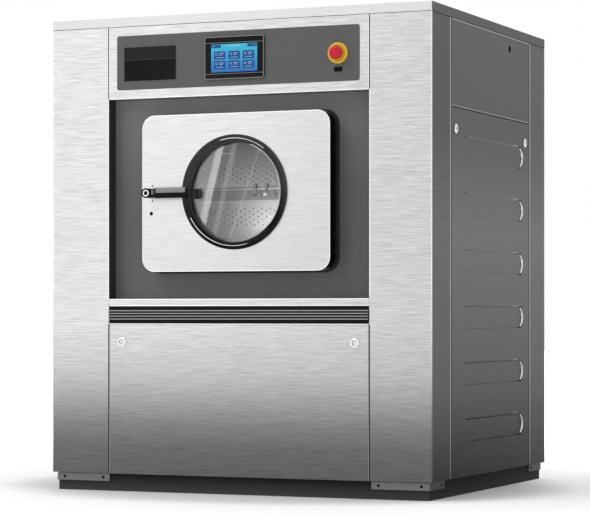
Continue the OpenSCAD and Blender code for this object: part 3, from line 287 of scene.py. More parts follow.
@dataclass(frozen=True)
class WindowGlass(Finish):
    """Clear float glass: sharp reflections, and lamps shine through it on the drum.

    Attributes:
        bend: Index of refraction, high enough that the pane veils the drum with the pale room.
    """

    bend: float = 1.58

    def wire(self, tree: Tree, shader: Node, coords: Socket) -> None:
        """Sets the glass; its surface is too smooth for a grain."""
        fill(shader, {"Base Color": linear(self.colour), "Transmission Weight": 1.0, "IOR": self.bend})

    def surface(self, tree: Tree, shader: Node) -> Socket:
        """Puts a clear shader in for rays on their way to lamps."""
        clear = add(tree, "BsdfTransparent", {"Color": linear(self.colour)})
        return add(tree, "MixShader", links={0: rays(tree, "Is Shadow Ray"), 1: shader.outputs[0],
                                             2: clear.outputs[0]}).outputs[0]


@dataclass(frozen=True)
class LitScreen(Finish):
    """A lit display behind glass: its colour runs from the top tone to the bottom tone.

    Attributes:
        low: Height of the picture's lower edge in metres.
        high: Height of its upper edge.
        bottom: Colour at the lower edge.
        glow: Strength of the display's own light.
        pane: Colour of the dark pane itself.
    """

    low: float = 0.0
    high: float = 1.0
    bottom: str = "#1d6fc4"
    glow: float = 1.05
    pane: str = "#06080b"

    def wire(self, tree: Tree, shader: Node, coords: Socket) -> None:
        """Links the run of colour to the display's own light; the pane itself is dark."""
        height = add(tree, "SeparateXYZ", links={0: coords}).outputs[2]
        share = remap(tree, height, self.low, self.high)
        tone = add(tree, "Mix", {"data_type": "RGBA", 6: linear(self.bottom), 7: linear(self.colour)}, {0: share})
        fill(shader, {"Base Color": linear(self.pane), "Emission Strength": self.glow})
        tree.links.new(tone.outputs[2], shader.inputs["Emission Color"])


# Painted shade: the working faces darken towards the floor; the flanks carry a painted reflection of the studio's dark
# end.
FACE_TONES: Stops = ((0.07, "#616161"), (0.15, "#656565"), (0.22, "#777776"), (0.30, "#969595"), (0.40, "#b5b4b4"),
                     (0.55, "#cbcaca"), (0.9, "#d0cfcf"), (1.56, "#dadad9"))
SIDE_TONES: Stops = ((0.07, "#262626"), (0.15, "#2d2d2d"), (0.25, "#3f3f3f"), (0.32, "#4d4d4d"), (0.5, "#5e5e5e"),
                     (0.85, "#727272"), (1.2, "#606060"), (1.56, "#686868"))

# Cold-rolled stainless, brushed along the sheet: the eye gets long pale streaks and a soft, drawn-out reflection;
# painted shade darkens it towards the floor, on the flanks and towards the right of each working face.
STAINLESS = BrushedSheet("brushed_stainless", "#dededd", 0.36, 0.92, mottle=0.25, relief_mm=0.04,
                         tones=FACE_TONES, side_tones=SIDE_TONES, fall=0.17)
# The roof cover's sheet lies towards the light, painted paler as painted light and almost without streaks; its sides
# carry painted shade.
ROOF_SHEET = BrushedSheet("roof_stainless", "#e9e9e8", 0.36, 0.92, mottle=0.05, relief_mm=0.03,
                          tones=((0.0, "#d2d2d1"), (1.6, "#d4d4d3")), side_tones=((0.0, "#616161"), (1.6, "#616161")))
# The door's sheet is ground finer, so that its streaks are fainter; painted shade darkens it towards the floor and to
# the right, and paints its rim black as the recess's shade.
DOOR_SHEET = BrushedSheet("door_stainless", "#dededc", 0.34, 0.92, mottle=0.13, relief_mm=0.04,
                          tones=((0.70, "#cdcccc"), (1.24, "#dadad9")),
                          side_tones=((0.7, "#0c0c0c"), (1.2, "#111111")), fall=0.16)
# The same sheet on the machine's flanks, painted dark as a painted reflection of the studio's dark end, with painted
# shade towards the floor.
SIDE_SHEET = BrushedSheet("flank_stainless", "#666666", 0.40, 0.95, mottle=0.05, relief_mm=0.02, tones=SIDE_TONES)
# Powder coat on steel: a dry, finely pimpled skin without highlights; painted shade darkens it upwards under the
# cabinet's overhang and on its flanks.
PLINTH = BrushedSheet("powder_coated_plinth", "#3b3b3a", 0.6, 0.0, relief_mm=0.08, mottle=0.06, sheen=0.04,
                      line_mm=2.0, line_len_mm=2.0, tones=((0.0, "#4c4c4b"), (0.03, "#3a3a39"), (0.058, "#272726")),
                      side_tones=((0.0, "#383837"), (0.03, "#232322"), (0.058, "#111111")))
# Zinc-plated steel: dull silver with a faint cloudiness, and painted shade where it turns to the flanks.
BRACKET = BrushedSheet("zinc_plated_bracket", "#7b7b79", 0.45, 0.5, relief_mm=0.03, mottle=0.10, line_mm=6.0,
                       line_len_mm=6.0, side_tones=((0.0, "#3b3b3a"), (1.6, "#3b3b3a")))
# Screen-printed polyester film over the fascia: flat, matt and even.
OVERLAY = Finish("matt_overlay_film", "#616161", 0.62, 0.0, 1.2, 0.02, 0.03, sheen=0.3)
# Baked enamel in the recess: dark grey with a silky skin, without a trace of the sheet's grain; painted shade darkens
# it towards the floor and to the right.
RECESS = BrushedSheet("recess_enamel", "#747473", 0.55, 0.0, mottle=0.015, relief_mm=0.01, sheen=0.3, fall=0.22,
                      tones=((0.63, "#70706f"), (0.98, "#747473"), (1.29, "#878786")))
# Polished ABS of the bezel and the name plate: deep black with crisp reflections.
GLOSS_BLACK = Finish("gloss_black_abs", "#0d0d0f", 0.16, 0.0, 1.5, 0.01, 0.08, sheen=0.12)
# The plate's upper half: a shade greyer and duller.
PLATE_FILM = Finish("plate_upper_film", "#1d1d1f", 0.3, 0.0, 1.5, 0.01, 0.05, sheen=0.15)
# Moulded glass-filled nylon of the window ring: black, with a painted grey sheen on its upper half.
SATIN_BLACK = BrushedSheet("satin_black_nylon", "#0b0b0c", 0.34, 0.0, relief_mm=0.03, mottle=0.08, sheen=0.12,
                           line_mm=1.2, line_len_mm=1.2,
                           tones=((0.80, "#0b0b0c"), (0.90, "#1c1c1d"), (1.0, "#454546"), (1.16, "#3a3a3b")))
# The handle's moulding: deeper black and smoother than the ring, with a tight highlight.
GRIP_BLACK = Finish("moulded_black_grip", "#0a0a0b", 0.26, 0.0, 1.5, 0.02, 0.08, sheen=0.08)
# Stoved enamel on the vent strip: black; the sharp lines of light on its ridges are painted highlights laid on as
# strips.
VENT_BLACK = Finish("black_enamel_strip", "#0c0c0d", 0.34, 0.0, 2.0, 0.03, sheen=0.1)
# Coloured plastics of the emergency stop: even and silky, with brown print on the collar.
YELLOW = Finish("yellow_pvc_collar", "#f0c436", 0.42, 0.0, 1.6, 0.04, 0.10, sheen=0.3)
COLLAR_PRINT = Finish("collar_print", "#7d5c1c", 0.5, 0.0, 1.6, 0.01, 0.05, sheen=0.3)
RED = Finish("red_mushroom_abs", "#d9193c", 0.34, 0.0, 2.0, 0.01, 0.03, sheen=0.3)
# Bright chrome on die-cast zinc: mirror-like with white glints.
CHROME = Finish("chromed_zinc", "#e2e2e3", 0.16, 1.0, 4.0, 0.005, 0.02)
# Pickled stainless inside the cabinet: dull, faintly clouded.
TUB_STEEL = Finish("pickled_tub_steel", "#6f7172", 0.42, 0.8, 5.0, 0.02, 0.08)
# Electropolished drum sheet: smooth and clouded, with soft reflections that make its punched holes read dark.
DRUM_STEEL = Finish("electropolished_drum", "#b9bab9", 0.34, 0.6, 6.0, 0.02, 0.06)
# The leaves are the same sheet, painted as a shaded and a lit copy: the upper one in painted shade, the lower one in
# painted light that fades to the left.
LEAF_DARK = Finish("upper_leaf_steel", "#c4c4c3", 0.55, 0.3, 6.0, 0.02, 0.05)
LEAF_LIGHT = BrushedSheet("lower_leaf_steel", "#e6e6e5", 0.45, 0.3, relief_mm=0.02, mottle=0.05, line_mm=6.0,
                          line_len_mm=6.0, fall=0.5, half_x=-0.14)
# Ground steel of the latch and its fingers: mid grey with dull edges.
LATCH_STEEL = Finish("ground_latch_steel", "#8c8c8b", 0.5, 0.3, 3.0, 0.02, 0.08)
# Painted shade of a slot, laid flat on the latch: dull and dark.
SLOT_GREY = Finish("latch_slot_shade", "#4c4c4b", 0.6, 0.2, 3.0, 0.02, 0.05)
# Ground facing of the band: a mid grey with painted shade that fades it to the left with the leaf.
BAND_STEEL = BrushedSheet("ground_band_steel", "#a0a09f", 0.5, 0.3, relief_mm=0.02, mottle=0.05, fall=0.4,
                          half_x=-0.14)
# Spun drum ends: smoother than the shell, with a long soft highlight.
DRUM_END = Finish("spun_drum_end", "#b4b6b8", 0.30, 0.9, 5.0, 0.01, 0.05)
# Paint on rough iron: a lumpy skin that breaks every highlight up.
CASTING = Finish("painted_iron_casting", "#45474a", 0.6, 0.1, 3.0, 0.25, 0.10)
# Enamel on the motor: blue, with a faint orange peel.
MOTOR_PAINT = Finish("motor_enamel", "#2f5f86", 0.4, 0.0, 2.5, 0.06, 0.05)
# Moulded rubber: near black, matt and dusty.
RUBBER = Finish("black_epdm_rubber", "#1a1a1b", 0.7, 0.0, 1.5, 0.05, 0.08, sheen=0.3)
# Turned brass: warm glints along fine tool marks.
BRASS = Finish("turned_brass", "#b58a3c", 0.3, 1.0, 2.0, 0.01, 0.05)
# Pipe plastic: flat mid grey.
GREY_PLASTIC = Finish("grey_pp_pipe", "#6b6c6e", 0.5, 0.0, 2.5, 0.03, 0.05)
# The window: faintly green, with the room's pale veil on it.
GLASS = WindowGlass("window_glass", "#f2f5f4", 0.0)
# The lit screen and what is drawn on it: bright blues and pale marks against the black bezel.
DISPLAY = LitScreen("lcd_screen", "#38b4cf", 0.25, 0.0, 1.2, 0.01, sheen=0.3, low=1.364, high=1.454,
                    bottom="#1c66b4")
TILE_BLUE = Finish("screen_tile", "#1b559c", 0.3, 0.0, 1.2, 0.01, 0.10, sheen=0.2)
TILE_MARK = Finish("screen_mark", "#c3dcea", 0.3, 0.0, 1.2, 0.01, 0.05, sheen=0.2)
# Painted highlights on sheared or rolled edges of bright sheet: thin white lines for the studio's white caught there.
PALE_LINE = Finish("polished_edge", "#ffffff", 0.25, 0.5, 3.0, 0.005, 0.02)
# The same painted highlights where painted shade darkens them towards the floor with the faces beside them, at the
# corners and on the flanks.
ROLLED_EDGE = BrushedSheet("rolled_corner_edge", "#ffffff", 0.25, 0.5, relief_mm=0.005, mottle=0.02,
                           tones=((0.08, "#565655"), (0.25, "#757574"), (0.45, "#d0d0cf"), (0.7, "#ffffff")))
FLANK_EDGE = BrushedSheet("flank_polished_edge", "#a4a4a3", 0.3, 0.6, relief_mm=0.005, mottle=0.02,
                          tones=((0.08, "#5c5c5b"), (0.3, "#7c7c7b"), (0.7, "#a4a4a3"), (1.56, "#acacab")))
# Painted highlights: dull lines of light painted on dark or low parts, from the bezel's rim and the low sheet edges to
# the vent's ridges, the grip, the link and the groove of the window ring; with them a grey hairline on the name plate.
GREY_LINE = Finish("printed_grey_line", "#9a9a99", 0.5, 0.0, 3.0, 0.005, 0.03, sheen=0.3)
RIDGE_GREY = Finish("ridge_sheen", "#a2a2a1", 0.5, 0.0, 3.0, 0.005, 0.03, sheen=0.2)
PLATE_LINE = Finish("plate_hairline", "#4e4e4f", 0.5, 0.0, 3.0, 0.005, 0.03, sheen=0.2)
GRIP_SHEEN = Finish("grip_sheen", "#8e8e8f", 0.35, 0.0, 3.0, 0.005, 0.03, sheen=0.3)
LINK_SHEEN = Finish("link_sheen", "#666667", 0.35, 0.0, 3.0, 0.005, 0.03, sheen=0.2)
GROOVE_GREY = Finish("ring_groove_sheen", "#3c3c3d", 0.4, 0.0, 3.0, 0.005, 0.03, sheen=0.2)
# Black without any shine: the service port, the sockets, the locks' key slots and rings and the bracket screws, and
# painted shade in the seams, under the vent strip and at the beads' lower ends, so that they read as depth.
DARK_GAP = Finish("shadow_gap_seal", "#0e0e0e", 0.8, 0.0, 3.0, 0.02, 0.03, sheen=0.08)

NODE_FINISHES: Dict[Finish, Tuple[str, ...]] = {
    STAINLESS: ("front_columns", "rear_columns", "control_fascia", "rear_fascia", "service_panels", "sill_strips"),
    ROOF_SHEET: ("top_cover",),
    DOOR_SHEET: ("load_door", "unload_door"),
    SIDE_SHEET: ("upper_side_panels", "lower_side_panels"),
    PLINTH: ("base_frame", "damper_tubes"),
    BRACKET: ("base_brackets", "door_hinges", "control_box"),
    OVERLAY: ("control_inlay",),
    RECESS: ("door_surrounds",),
    GLOSS_BLACK: ("blank_plate", "touch_panel"),
    DISPLAY: ("touch_screen",),
    SATIN_BLACK: ("load_ring", "unload_ring"),
    DARK_GAP: ("service_port",),
    GRIP_BLACK: ("load_handle", "unload_handle"),
    VENT_BLACK: ("vent_louvres",),
    YELLOW: ("estop_collars",),
    RED: ("estop_button_front", "estop_button_rear"),
    LATCH_STEEL: ("hatch_latch",),
    CHROME: ("damper_rods", "bearings") + tuple(f"lock_{face}_{end}" for face, end in (
        ("front", "left"), ("front", "right"), ("rear", "left"), ("rear", "right"),
        ("right", "front"), ("right", "rear"), ("left", "front"), ("left", "rear"))),
    TUB_STEEL: ("tub_shell", "tub_ends", "tub_throats"),
    DRUM_STEEL: ("drum_shell",),
    DRUM_END: ("drum_ends",),
    LEAF_DARK: ("hatch_upper",),
    LEAF_LIGHT: ("hatch_lower",),
    CASTING: ("bearing_housings", "drum_pulley", "motor_pulley"),
    MOTOR_PAINT: ("motor",),
    RUBBER: ("mouth_gaskets", "air_springs", "drive_belt"),
    BRASS: ("water_inlets",),
    GREY_PLASTIC: ("vent_pipe", "drain_pipe"),
    GLASS: ("load_glass", "unload_glass"),
}


def finish_nodes() -> None:
    """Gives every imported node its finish."""
    for look, names in NODE_FINISHES.items():
        for name in names:
            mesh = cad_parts[name].data
            mesh.materials.clear()
            mesh.materials.append(look.build())
    LOG.info("finished %d nodes", sum(map(len, NODE_FINISHES.values())))


def to_mesh(name: str, solid: Solid) -> bpy.types.Mesh:
    """Turns a solid, which is used up, into a mesh."""
    mesh = bpy.data.meshes.new(name)
    solid.to_mesh(mesh)
    solid.free()
    return mesh


def to_scene(name: str, data: Any) -> bpy.types.Object:
    """Makes an object of a mesh, a camera or a lamp and links it to the scene."""
    made = bpy.data.objects.new(name, data)
    bpy.context.scene.collection.objects.link(made)
    return made


def make(name: str, look: Finish, body: str, slot: str, *parts: Part, side: Optional[Side] = None) -> None:
    """Makes one new piece out of parts that are made about the origin.

    Args:
        name: The piece's name.
        look: Its finish.
        body: The body that it rides on.
        slot: Names a material slot of the record; not used.
        parts: Each part, which is used up, with its place: x, y and z in millimetres, or a matrix.
        side: The working face that it goes to, whose name comes first; places are given for the loading one.
    """
    whole = bmesh.new()
    for part, *place in parts:
        move = place[0] if len(place) == 1 else at(*place)
        if side:
            move = side.place @ move
        part.transform(move)
        if move.determinant() < 0:
            bmesh.ops.reverse_faces(part, faces=part.faces)
        mesh = to_mesh("part", part)
        whole.from_mesh(mesh)
        bpy.data.meshes.remove(mesh)
    if side:
        name = f"{side.name.lower()}_{name}"
    mesh = to_mesh(name, whole)
    mesh.shade_smooth()
    mesh.set_sharp_from_angle(angle=math.radians(SHARP_DEG))
    mesh.materials.append(look.build())
    made = to_scene(name, mesh)
    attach(made, body)
    LOG.info("made %s: %d faces", name, len(mesh.polygons))


def extrude(solid: Solid, shift: Point) -> None:
    """Pulls a solid's faces out by a shift in metres, and turns all its faces outwards."""
    rise = bmesh.ops.extrude_face_region(solid, geom=solid.faces[:])
    moved = [v for v in rise["geom"] if isinstance(v, bmesh.types.BMVert)]
    bmesh.ops.translate(solid, verts=moved, vec=shift)
    bmesh.ops.recalc_face_normals(solid, faces=solid.faces[:])


def plate(width: float, height: float, thickness: float, radius: float = 0.0, border: float = 0.0,
          edge: float = 0.0) -> Solid:
    """A flat plate in the XZ plane with its back at y = 0, or a border of such a plate.

    Args:
        width: Size along X in millimetres.
        height: Size along Z.
        thickness: Its front lies this far towards -Y.
        radius: Radius of its corners.
        border: Width of the border that stays, or 0 for a whole plate.
        edge: Size of the bevel round its front.
    """
    bm = bmesh.new()
    bmesh.ops.create_grid(bm, x_segments=1, y_segments=1, size=0.5, matrix=Matrix.Rotation(math.pi / 2, 4, "X")
                          @ Matrix.Diagonal((width * MM, height * MM, 1, 1)))
    if radius > 0:
        bmesh.ops.bevel(bm, geom=bm.verts[:], offset=radius * MM, affect="VERTICES", segments=8, profile=0.5,
                        material=-1)
    if border > 0:
        bmesh.ops.inset_region(bm, faces=bm.faces[:], thickness=border * MM, use_boundary=True,
                                use_even_offset=True)
        inner = max(bm.faces, key=lambda f: len(f.verts))
        bmesh.ops.delete(bm, geom=[inner], context="FACES_ONLY")
    bm.normal_update()
    extrude(bm, (0, -thickness * MM, 0))
    if edge > 0:
        front = [e for e in bm.edges if all(v.co.y < -thickness * MM + 1e-6 for v in e.verts)
                 and any(abs(f.normal.y) < 0.5 for f in e.link_faces)]
        bmesh.ops.bevel(bm, geom=front, offset=edge * MM, affect="EDGES", segments=2, profile=0.5, material=-1)
    return bm


def turned(profile: Sequence[Pair], steps: int = 48, start: float = 0.0, sweep: float = 360.0) -> Solid:
    """Spins a profile about the Y axis.

    Args:
        profile: Points (radius, depth) in millimetres; depth counts towards +Y. A ring repeats its first point.
        steps: Number of steps round the axis.
        start: Where a part turn starts, in degrees from +X up to +Z.
        sweep: Size of the turn in degrees.
    """
    bm = bmesh.new()
    verts = [bm.verts.new((r * MM, y * MM, 0)) for r, y in profile]
    edges = [bm.edges.new(pair) for pair in zip(verts, verts[1:])]
    bmesh.ops.rotate(bm, verts=verts, cent=(0, 0, 0), matrix=Matrix.Rotation(-math.radians(start), 3, "Y"))
    whole = sweep >= 360
    bmesh.ops.spin(bm, geom=verts + edges, cent=(0, 0, 0), axis=(0, -1, 0), angle=math.radians(sweep), steps=steps,
                   use_merge=whole)
    bmesh.ops.remove_doubles(bm, verts=bm.verts[:], dist=1e-6)
    bmesh.ops.holes_fill(bm, edges=[e for e in bm.edges if e.is_boundary], sides=0)
    bmesh.ops.recalc_face_normals(bm, faces=bm.faces[:])
    return bm


def ring(inner: float, outer: float, height: float, steps: int = 96) -> Solid:
    """A flat ring about Y that stands up from y = 0 towards -Y, with its front edges broken."""
    soft = min(height, outer - inner) / 4
    return turned([(inner, 0), (outer, 0), (outer, soft - height), (outer - soft, -height),
                   (inner + soft, -height), (inner, soft - height), (inner, 0)], steps)


def disc(radius: float, height: float, steps: int = 32) -> Solid:
    """A low pan head about Y that stands up from y = 0 towards -Y."""
    soft = min(height, radius) / 3
    return turned([(0, 0), (radius, 0), (radius, soft - height), (radius - soft, -height), (0, -height)], steps)


def strip(size: Point) -> Solid:
    """A straight strip about the origin with its long edges slightly broken, of the given size in millimetres."""
    bm = bmesh.new()
    bmesh.ops.create_cube(bm, size=1.0, matrix=Matrix.Diagonal((*[v * MM for v in size], 1)))
    bmesh.ops.bevel(bm, geom=bm.edges[:], offset=min(size) * MM * 0.2, affect="EDGES", segments=1, profile=0.5,
                    material=-1)
    return bm


def at(x: float, y: float, z: float) -> Matrix:
    """A shift to a place in millimetres."""
    return Matrix.Translation((x * MM, y * MM, z * MM))


@dataclass
class ControlPanel:
    """The controls: painted highlights on the touch panel's rim, its picture, the name plate, and the print on both
    stops' collars.
    """

    bezel: Pair = (-3.5, 1410.0)
    bezel_size: Pair = (210.0, 137.0)
    bezel_front: float = -583.0
    screen_front: float = -582.4
    screen: Pair = (-3.5, 1409.0)
    screen_size: Pair = (164.0, 90.0)
    plate_mid: Pair = (-309.5, 1403.5)
    plate_size: Pair = (188.0, 110.0)
    plate_front: float = -578.5
    plate_line: float = 1416.8
    stop: Pair = (357.0, 1408.5)
    collar_front: Dict[Side, float] = field(default_factory=lambda: {Side.LOAD: -587.0, Side.UNLOAD: -586.0})
    film: float = 0.15
    tile: Pair = (41.0, 26.0)
    tile_step: Pair = (51.0, 31.0)
    tile_rise: float = 9.0
    # Lines drawn on each tile: width, height, and place about the tile's middle.
    tile_lines: Tuple[Four, ...] = ((17.0, 1.6, 6.0, 6.5), (12.0, 1.6, 3.5, 1.5), (26.0, 1.4, 0.0, -7.0))
    dashes: int = 20
    dash_radius: float = 24.5

    def build(self) -> None:
        """Makes every piece of the panel."""
        self.bezel_trim()
        self.picture()
        self.name_plate()
        for side in Side:
            self.collar_print(side)

    def bezel_trim(self) -> None:
        """Painted highlights round the bezel's rim and on the two lines over and under the screen."""
        (x, z), (width, height), y = self.bezel, self.bezel_size, self.bezel_front
        make("touch_bezel_rim", GREY_LINE, "root", "black_gloss",
             (plate(width, height, 0.7, 7, border=2.0, edge=0.2), x, y, z),
             *((plate(width - 4, 1.2, 0.5), x, y, z + level) for level in (48.5, -51.5)))

    def picture(self) -> None:
        """A generic picture on the screen: a title bar, six buttons and plain marks."""
        (x, z), (width, height), y = self.screen, self.screen_size, self.screen_front
        film, over, bar = self.film, y - self.film, z + height / 2 - 6.5
        tiles = [(plate(34, 10, film, 1.5), x + s * (width / 2 - 18), y, bar) for s in (-1, 1)]
        marks = [(plate(3, 3, film, 1), x + s * (width / 2 - 10), over, bar) for s in (-1, 1)]
        marks.append((plate(46, 2.0, film), x - 2, y, z + height / 2 - 6))
        for column in (-1, 0, 1):
            for row in (0, 1):
                mid_x, mid_z = x + self.tile_step[0] * column, z + self.tile_rise - self.tile_step[1] * row
                tiles.append((plate(*self.tile, film, 2.5), mid_x, y, mid_z))
                marks.append((ring(2.6, 3.8, 0.12, 20), mid_x - 12, over, mid_z + 4))
                marks += [(plate(line_w, line_h, 0.12), mid_x + line_x, over, mid_z + line_z)
                          for line_w, line_h, line_x, line_z in self.tile_lines]
        make("screen_buttons", TILE_BLUE, "root", "screen", *tiles)
        make("screen_marks", TILE_MARK, "root", "screen", *marks)

    def name_plate(self) -> None:
        """The bare plate's lighter upper part and the hairline under it."""
        (x, z), (width, height), y = self.plate_mid, self.plate_size, self.plate_front
        top, line = z + height / 2, self.plate_line
        make("name_plate_upper", PLATE_FILM, "root", "black_gloss",
             (plate(width - 1, top - line - 0.5, 0.2, 0.8), x, y, (top + line) / 2))
        make("name_plate_line", PLATE_LINE, "root", "black_gloss", (plate(width - 1, 1.0, 0.3), x, y, line))

    def collar_print(self, side: Side) -> None:
        """A ring of short printed dashes on an emergency stop's collar."""
        (x, z), y, out = self.stop, self.collar_front[side], at(0, 0, self.dash_radius)
        turns = [Matrix.Rotation(math.radians(step * 360 / self.dashes), 4, "Y") for step in range(self.dashes)]
        make("collar_print", COLLAR_PRINT, "root", "yellow",
             *((plate(3.4, 3.2, self.film, 0.8), at(x, y, z) @ turn @ out) for turn in turns), side=side)


@dataclass
class DoorTrim:
    """The small parts of one door: painted highlights on its edge and the rings round the window, a painted shadow
    round the door, screws, and the handle's hub and grip highlights.
    """

    side: Side
    front: float = -586.0
    mid_z: float = 976.5
    size: Pair = (666.0, 510.0)
    corner: float = 44.0
    ring_radius: float = 185.5
    groove_radius: float = 173.4
    groove_front: float = -594.0
    window_radius: float = 162.5
    handle_x: float = -298.0
    hub_floor: float = -629.0
    surround: float = -526.0
    grip: Pair = (-266.0, -152.0)
    grip_front: float = -630.9
    grip_flat: float = 7.0
    grip_round: float = 10.0
    link_x: float = -274.5
    screws: Tuple[Pair, ...] = ((-296.0, 1001.5), (-296.0, 952.8))
    eye: Pair = (-300.0, 911.4)
    # Start and sweep in degrees of the painted bright and dim highlight arcs in the ring's groove, and of those at its
    # inner edge.
    groove_arcs: Tuple[Tuple[Pair, ...], ...] = (((208, 78), (52, 54)), ((106, 102), (286, 30)))
    inner_arcs: Tuple[Tuple[Pair, ...], ...] = (((-40, 110),), ((70, 250),))

    def build(self) -> None:
        """Makes every piece of the door."""
        handle, z, side = self.side.handle, self.mid_z, self.side
        # A painted highlight round the door's edge and round the window ring.
        make("door_edge_highlight", PALE_LINE, side.value, "stainless",
             (plate(*self.size, 0.8, self.corner, border=2.6, edge=0.3), 0, self.front, z),
             (ring(self.ring_radius + 0.2, self.ring_radius + 2.6, 0.8), 0, self.front, z), side=side)
        self.window_lights()
        self.fixings()
        # A black frame on the surround round the door, in rubber's finish: a painted shadow of the door.
        make("door_painted_shadow", RUBBER, "tub", "rubber",
             (plate(self.size[0] + 16, self.size[1] + 10, 4, self.corner + 5, border=24, edge=1), 0, self.surround, z),
             side=side)
        self.grip_lights()
        # The hub's white ring is a painted highlight.
        make("hub_ring", PALE_LINE, handle, "chrome", (ring(7.2, 10.9, 1.4, 40), self.handle_x, self.hub_floor, z),
             side=side)
        make("hub_core", DARK_GAP, handle, "black_plastic",
             (disc(6.9, 1.5), self.handle_x, self.hub_floor + 0.1, z), side=side)

    def grip_lights(self) -> None:
        """Painted highlights: the light along the upper half of the grip and round its upper edge, and a painted sheen
        on the face of the link.
        """
        long, flat, r = self.grip[1] - self.grip[0] - 8, self.grip_flat, self.grip_round
        mid_x, handle = sum(self.grip) / 2, self.side.handle
        edge = turned([(r, -long / 2), (r + 0.35, -long / 2), (r + 0.35, long / 2), (r, long / 2), (r, -long / 2)],
                      10, 0, 60)
        edge.transform(Matrix.Rotation(-math.pi / 2, 4, "Z"))
        make("grip_sheen", GRIP_SHEEN, handle, "black_plastic",
             (strip((long, 0.6, flat)), mid_x, self.grip_front, self.mid_z + flat / 2),
             (edge, mid_x, self.grip_front + r, self.mid_z + flat), side=self.side)
        make("link_sheen", LINK_SHEEN, handle, "black_plastic",
             (plate(11, 17, 0.3, 1), self.link_x, self.hub_floor, self.mid_z + 3), side=self.side)

    def window_lights(self) -> None:
        """Painted highlights on the window ring: bright ones in its groove below and at the left and at its inner edge
        at the right, dim grey ones round the rest.
        """
        # The bright painted highlights take chrome's finish, the dim ones a grey sheen.
        g, r, z, looks = self.groove_radius, self.window_radius, self.mid_z, (
            ("window_lights", CHROME, "chrome"), ("window_shades", GROOVE_GREY, "black_plastic"))
        for (name, look, slot), groove, inner in zip(looks, self.groove_arcs, self.inner_arcs):
            make(name, look, self.side.value, slot,
                 *((self.arc(g - 0.7, g + 0.7, 0.8, *arc), 0, self.groove_front, z) for arc in groove),
                 *((self.arc(r - 1.5, r - 0.1, 3.0, *arc), 0, self.front - 0.5, z) for arc in inner), side=self.side)

    def arc(self, inner: float, outer: float, height: float, start: float, sweep: float) -> Solid:
        """Part of a flat ring about Y, from an angle over a sweep in degrees."""
        return turned([(inner, 0), (outer, 0), (outer, -height), (inner, -height), (inner, 0)], 48, start, sweep)

    def fixings(self) -> None:
        """Two countersunk screws by the handle and the eye for the emergency key."""
        eye = (self.eye[0], self.front, self.eye[1])
        make("door_screws", CHROME, self.side.value, "chrome",
             *((ring(2.7, 3.6, 0.7, 24), x, self.front, z) for x, z in self.screws),
             (ring(6.2, 7.3, 0.9, 32), *eye), side=self.side)
        make("door_sockets", DARK_GAP, self.side.value, "black_plastic",
             *((disc(2.7, 0.3, 16), x, self.front, z) for x, z in self.screws),
             (disc(6.2, 0.4, 24), *eye), side=self.side)


@dataclass
class HatchBand:
    """The band on the lower leaf: its facing, which painted shade darkens to the left, painted highlights on its
    folds, caps on the latch's guides, and the latch's painted slot shade and painted tab highlight.
    """

    mid_z: float = 976.5
    face: float = -375.7
    half_x: float = 228.0
    half_z: float = 17.0
    line_z: float = 20.0
    guide_x: float = 45.0
    guide_face: float = -385.5
    cap: Pair = (12.0, 22.0)
    latch_face: float = -382.0
    slot: Pair = (24.0, 7.0)
    slot_x: float = -19.0
    tab: Pair = (12.0, 9.0)
    tab_place: Pair = (16.0, 1.5)
    laid: float = 0.25

    def build(self) -> None:
        """Makes what rides on the lower leaf, then what rides on the latch."""
        wide, z, (tab_x, tab_rise) = 2 * self.half_x, self.mid_z, self.tab_place
        make("hatch_band_facing", BAND_STEEL, "lower_leaf", "drum_steel",
             (plate(wide, 2 * self.half_z, 0.7), 0, self.face, z))
        make("hatch_band_lines", PALE_LINE, "lower_leaf", "drum_steel",
             (strip((wide, 1.0, 2.2)), 0, self.face, z - self.line_z - 1.0),
             (strip((wide, 1.0, 2.2)), 0, self.face, z + self.line_z + 0.6))
        make("latch_guide_caps", BAND_STEEL, "lower_leaf", "drum_steel",
             *((plate(*self.cap, 0.3), s * self.guide_x, self.guide_face, z) for s in (-1, 1)))
        make("latch_slot_shade", SLOT_GREY, "latch", "drum_steel",
             (plate(*self.slot, self.laid, 3.4), self.slot_x, self.latch_face, z))
        make("latch_tab_light", PALE_LINE, "latch", "drum_steel",
             (plate(*self.tab, self.laid, 1), tab_x, self.latch_face, z + tab_rise))


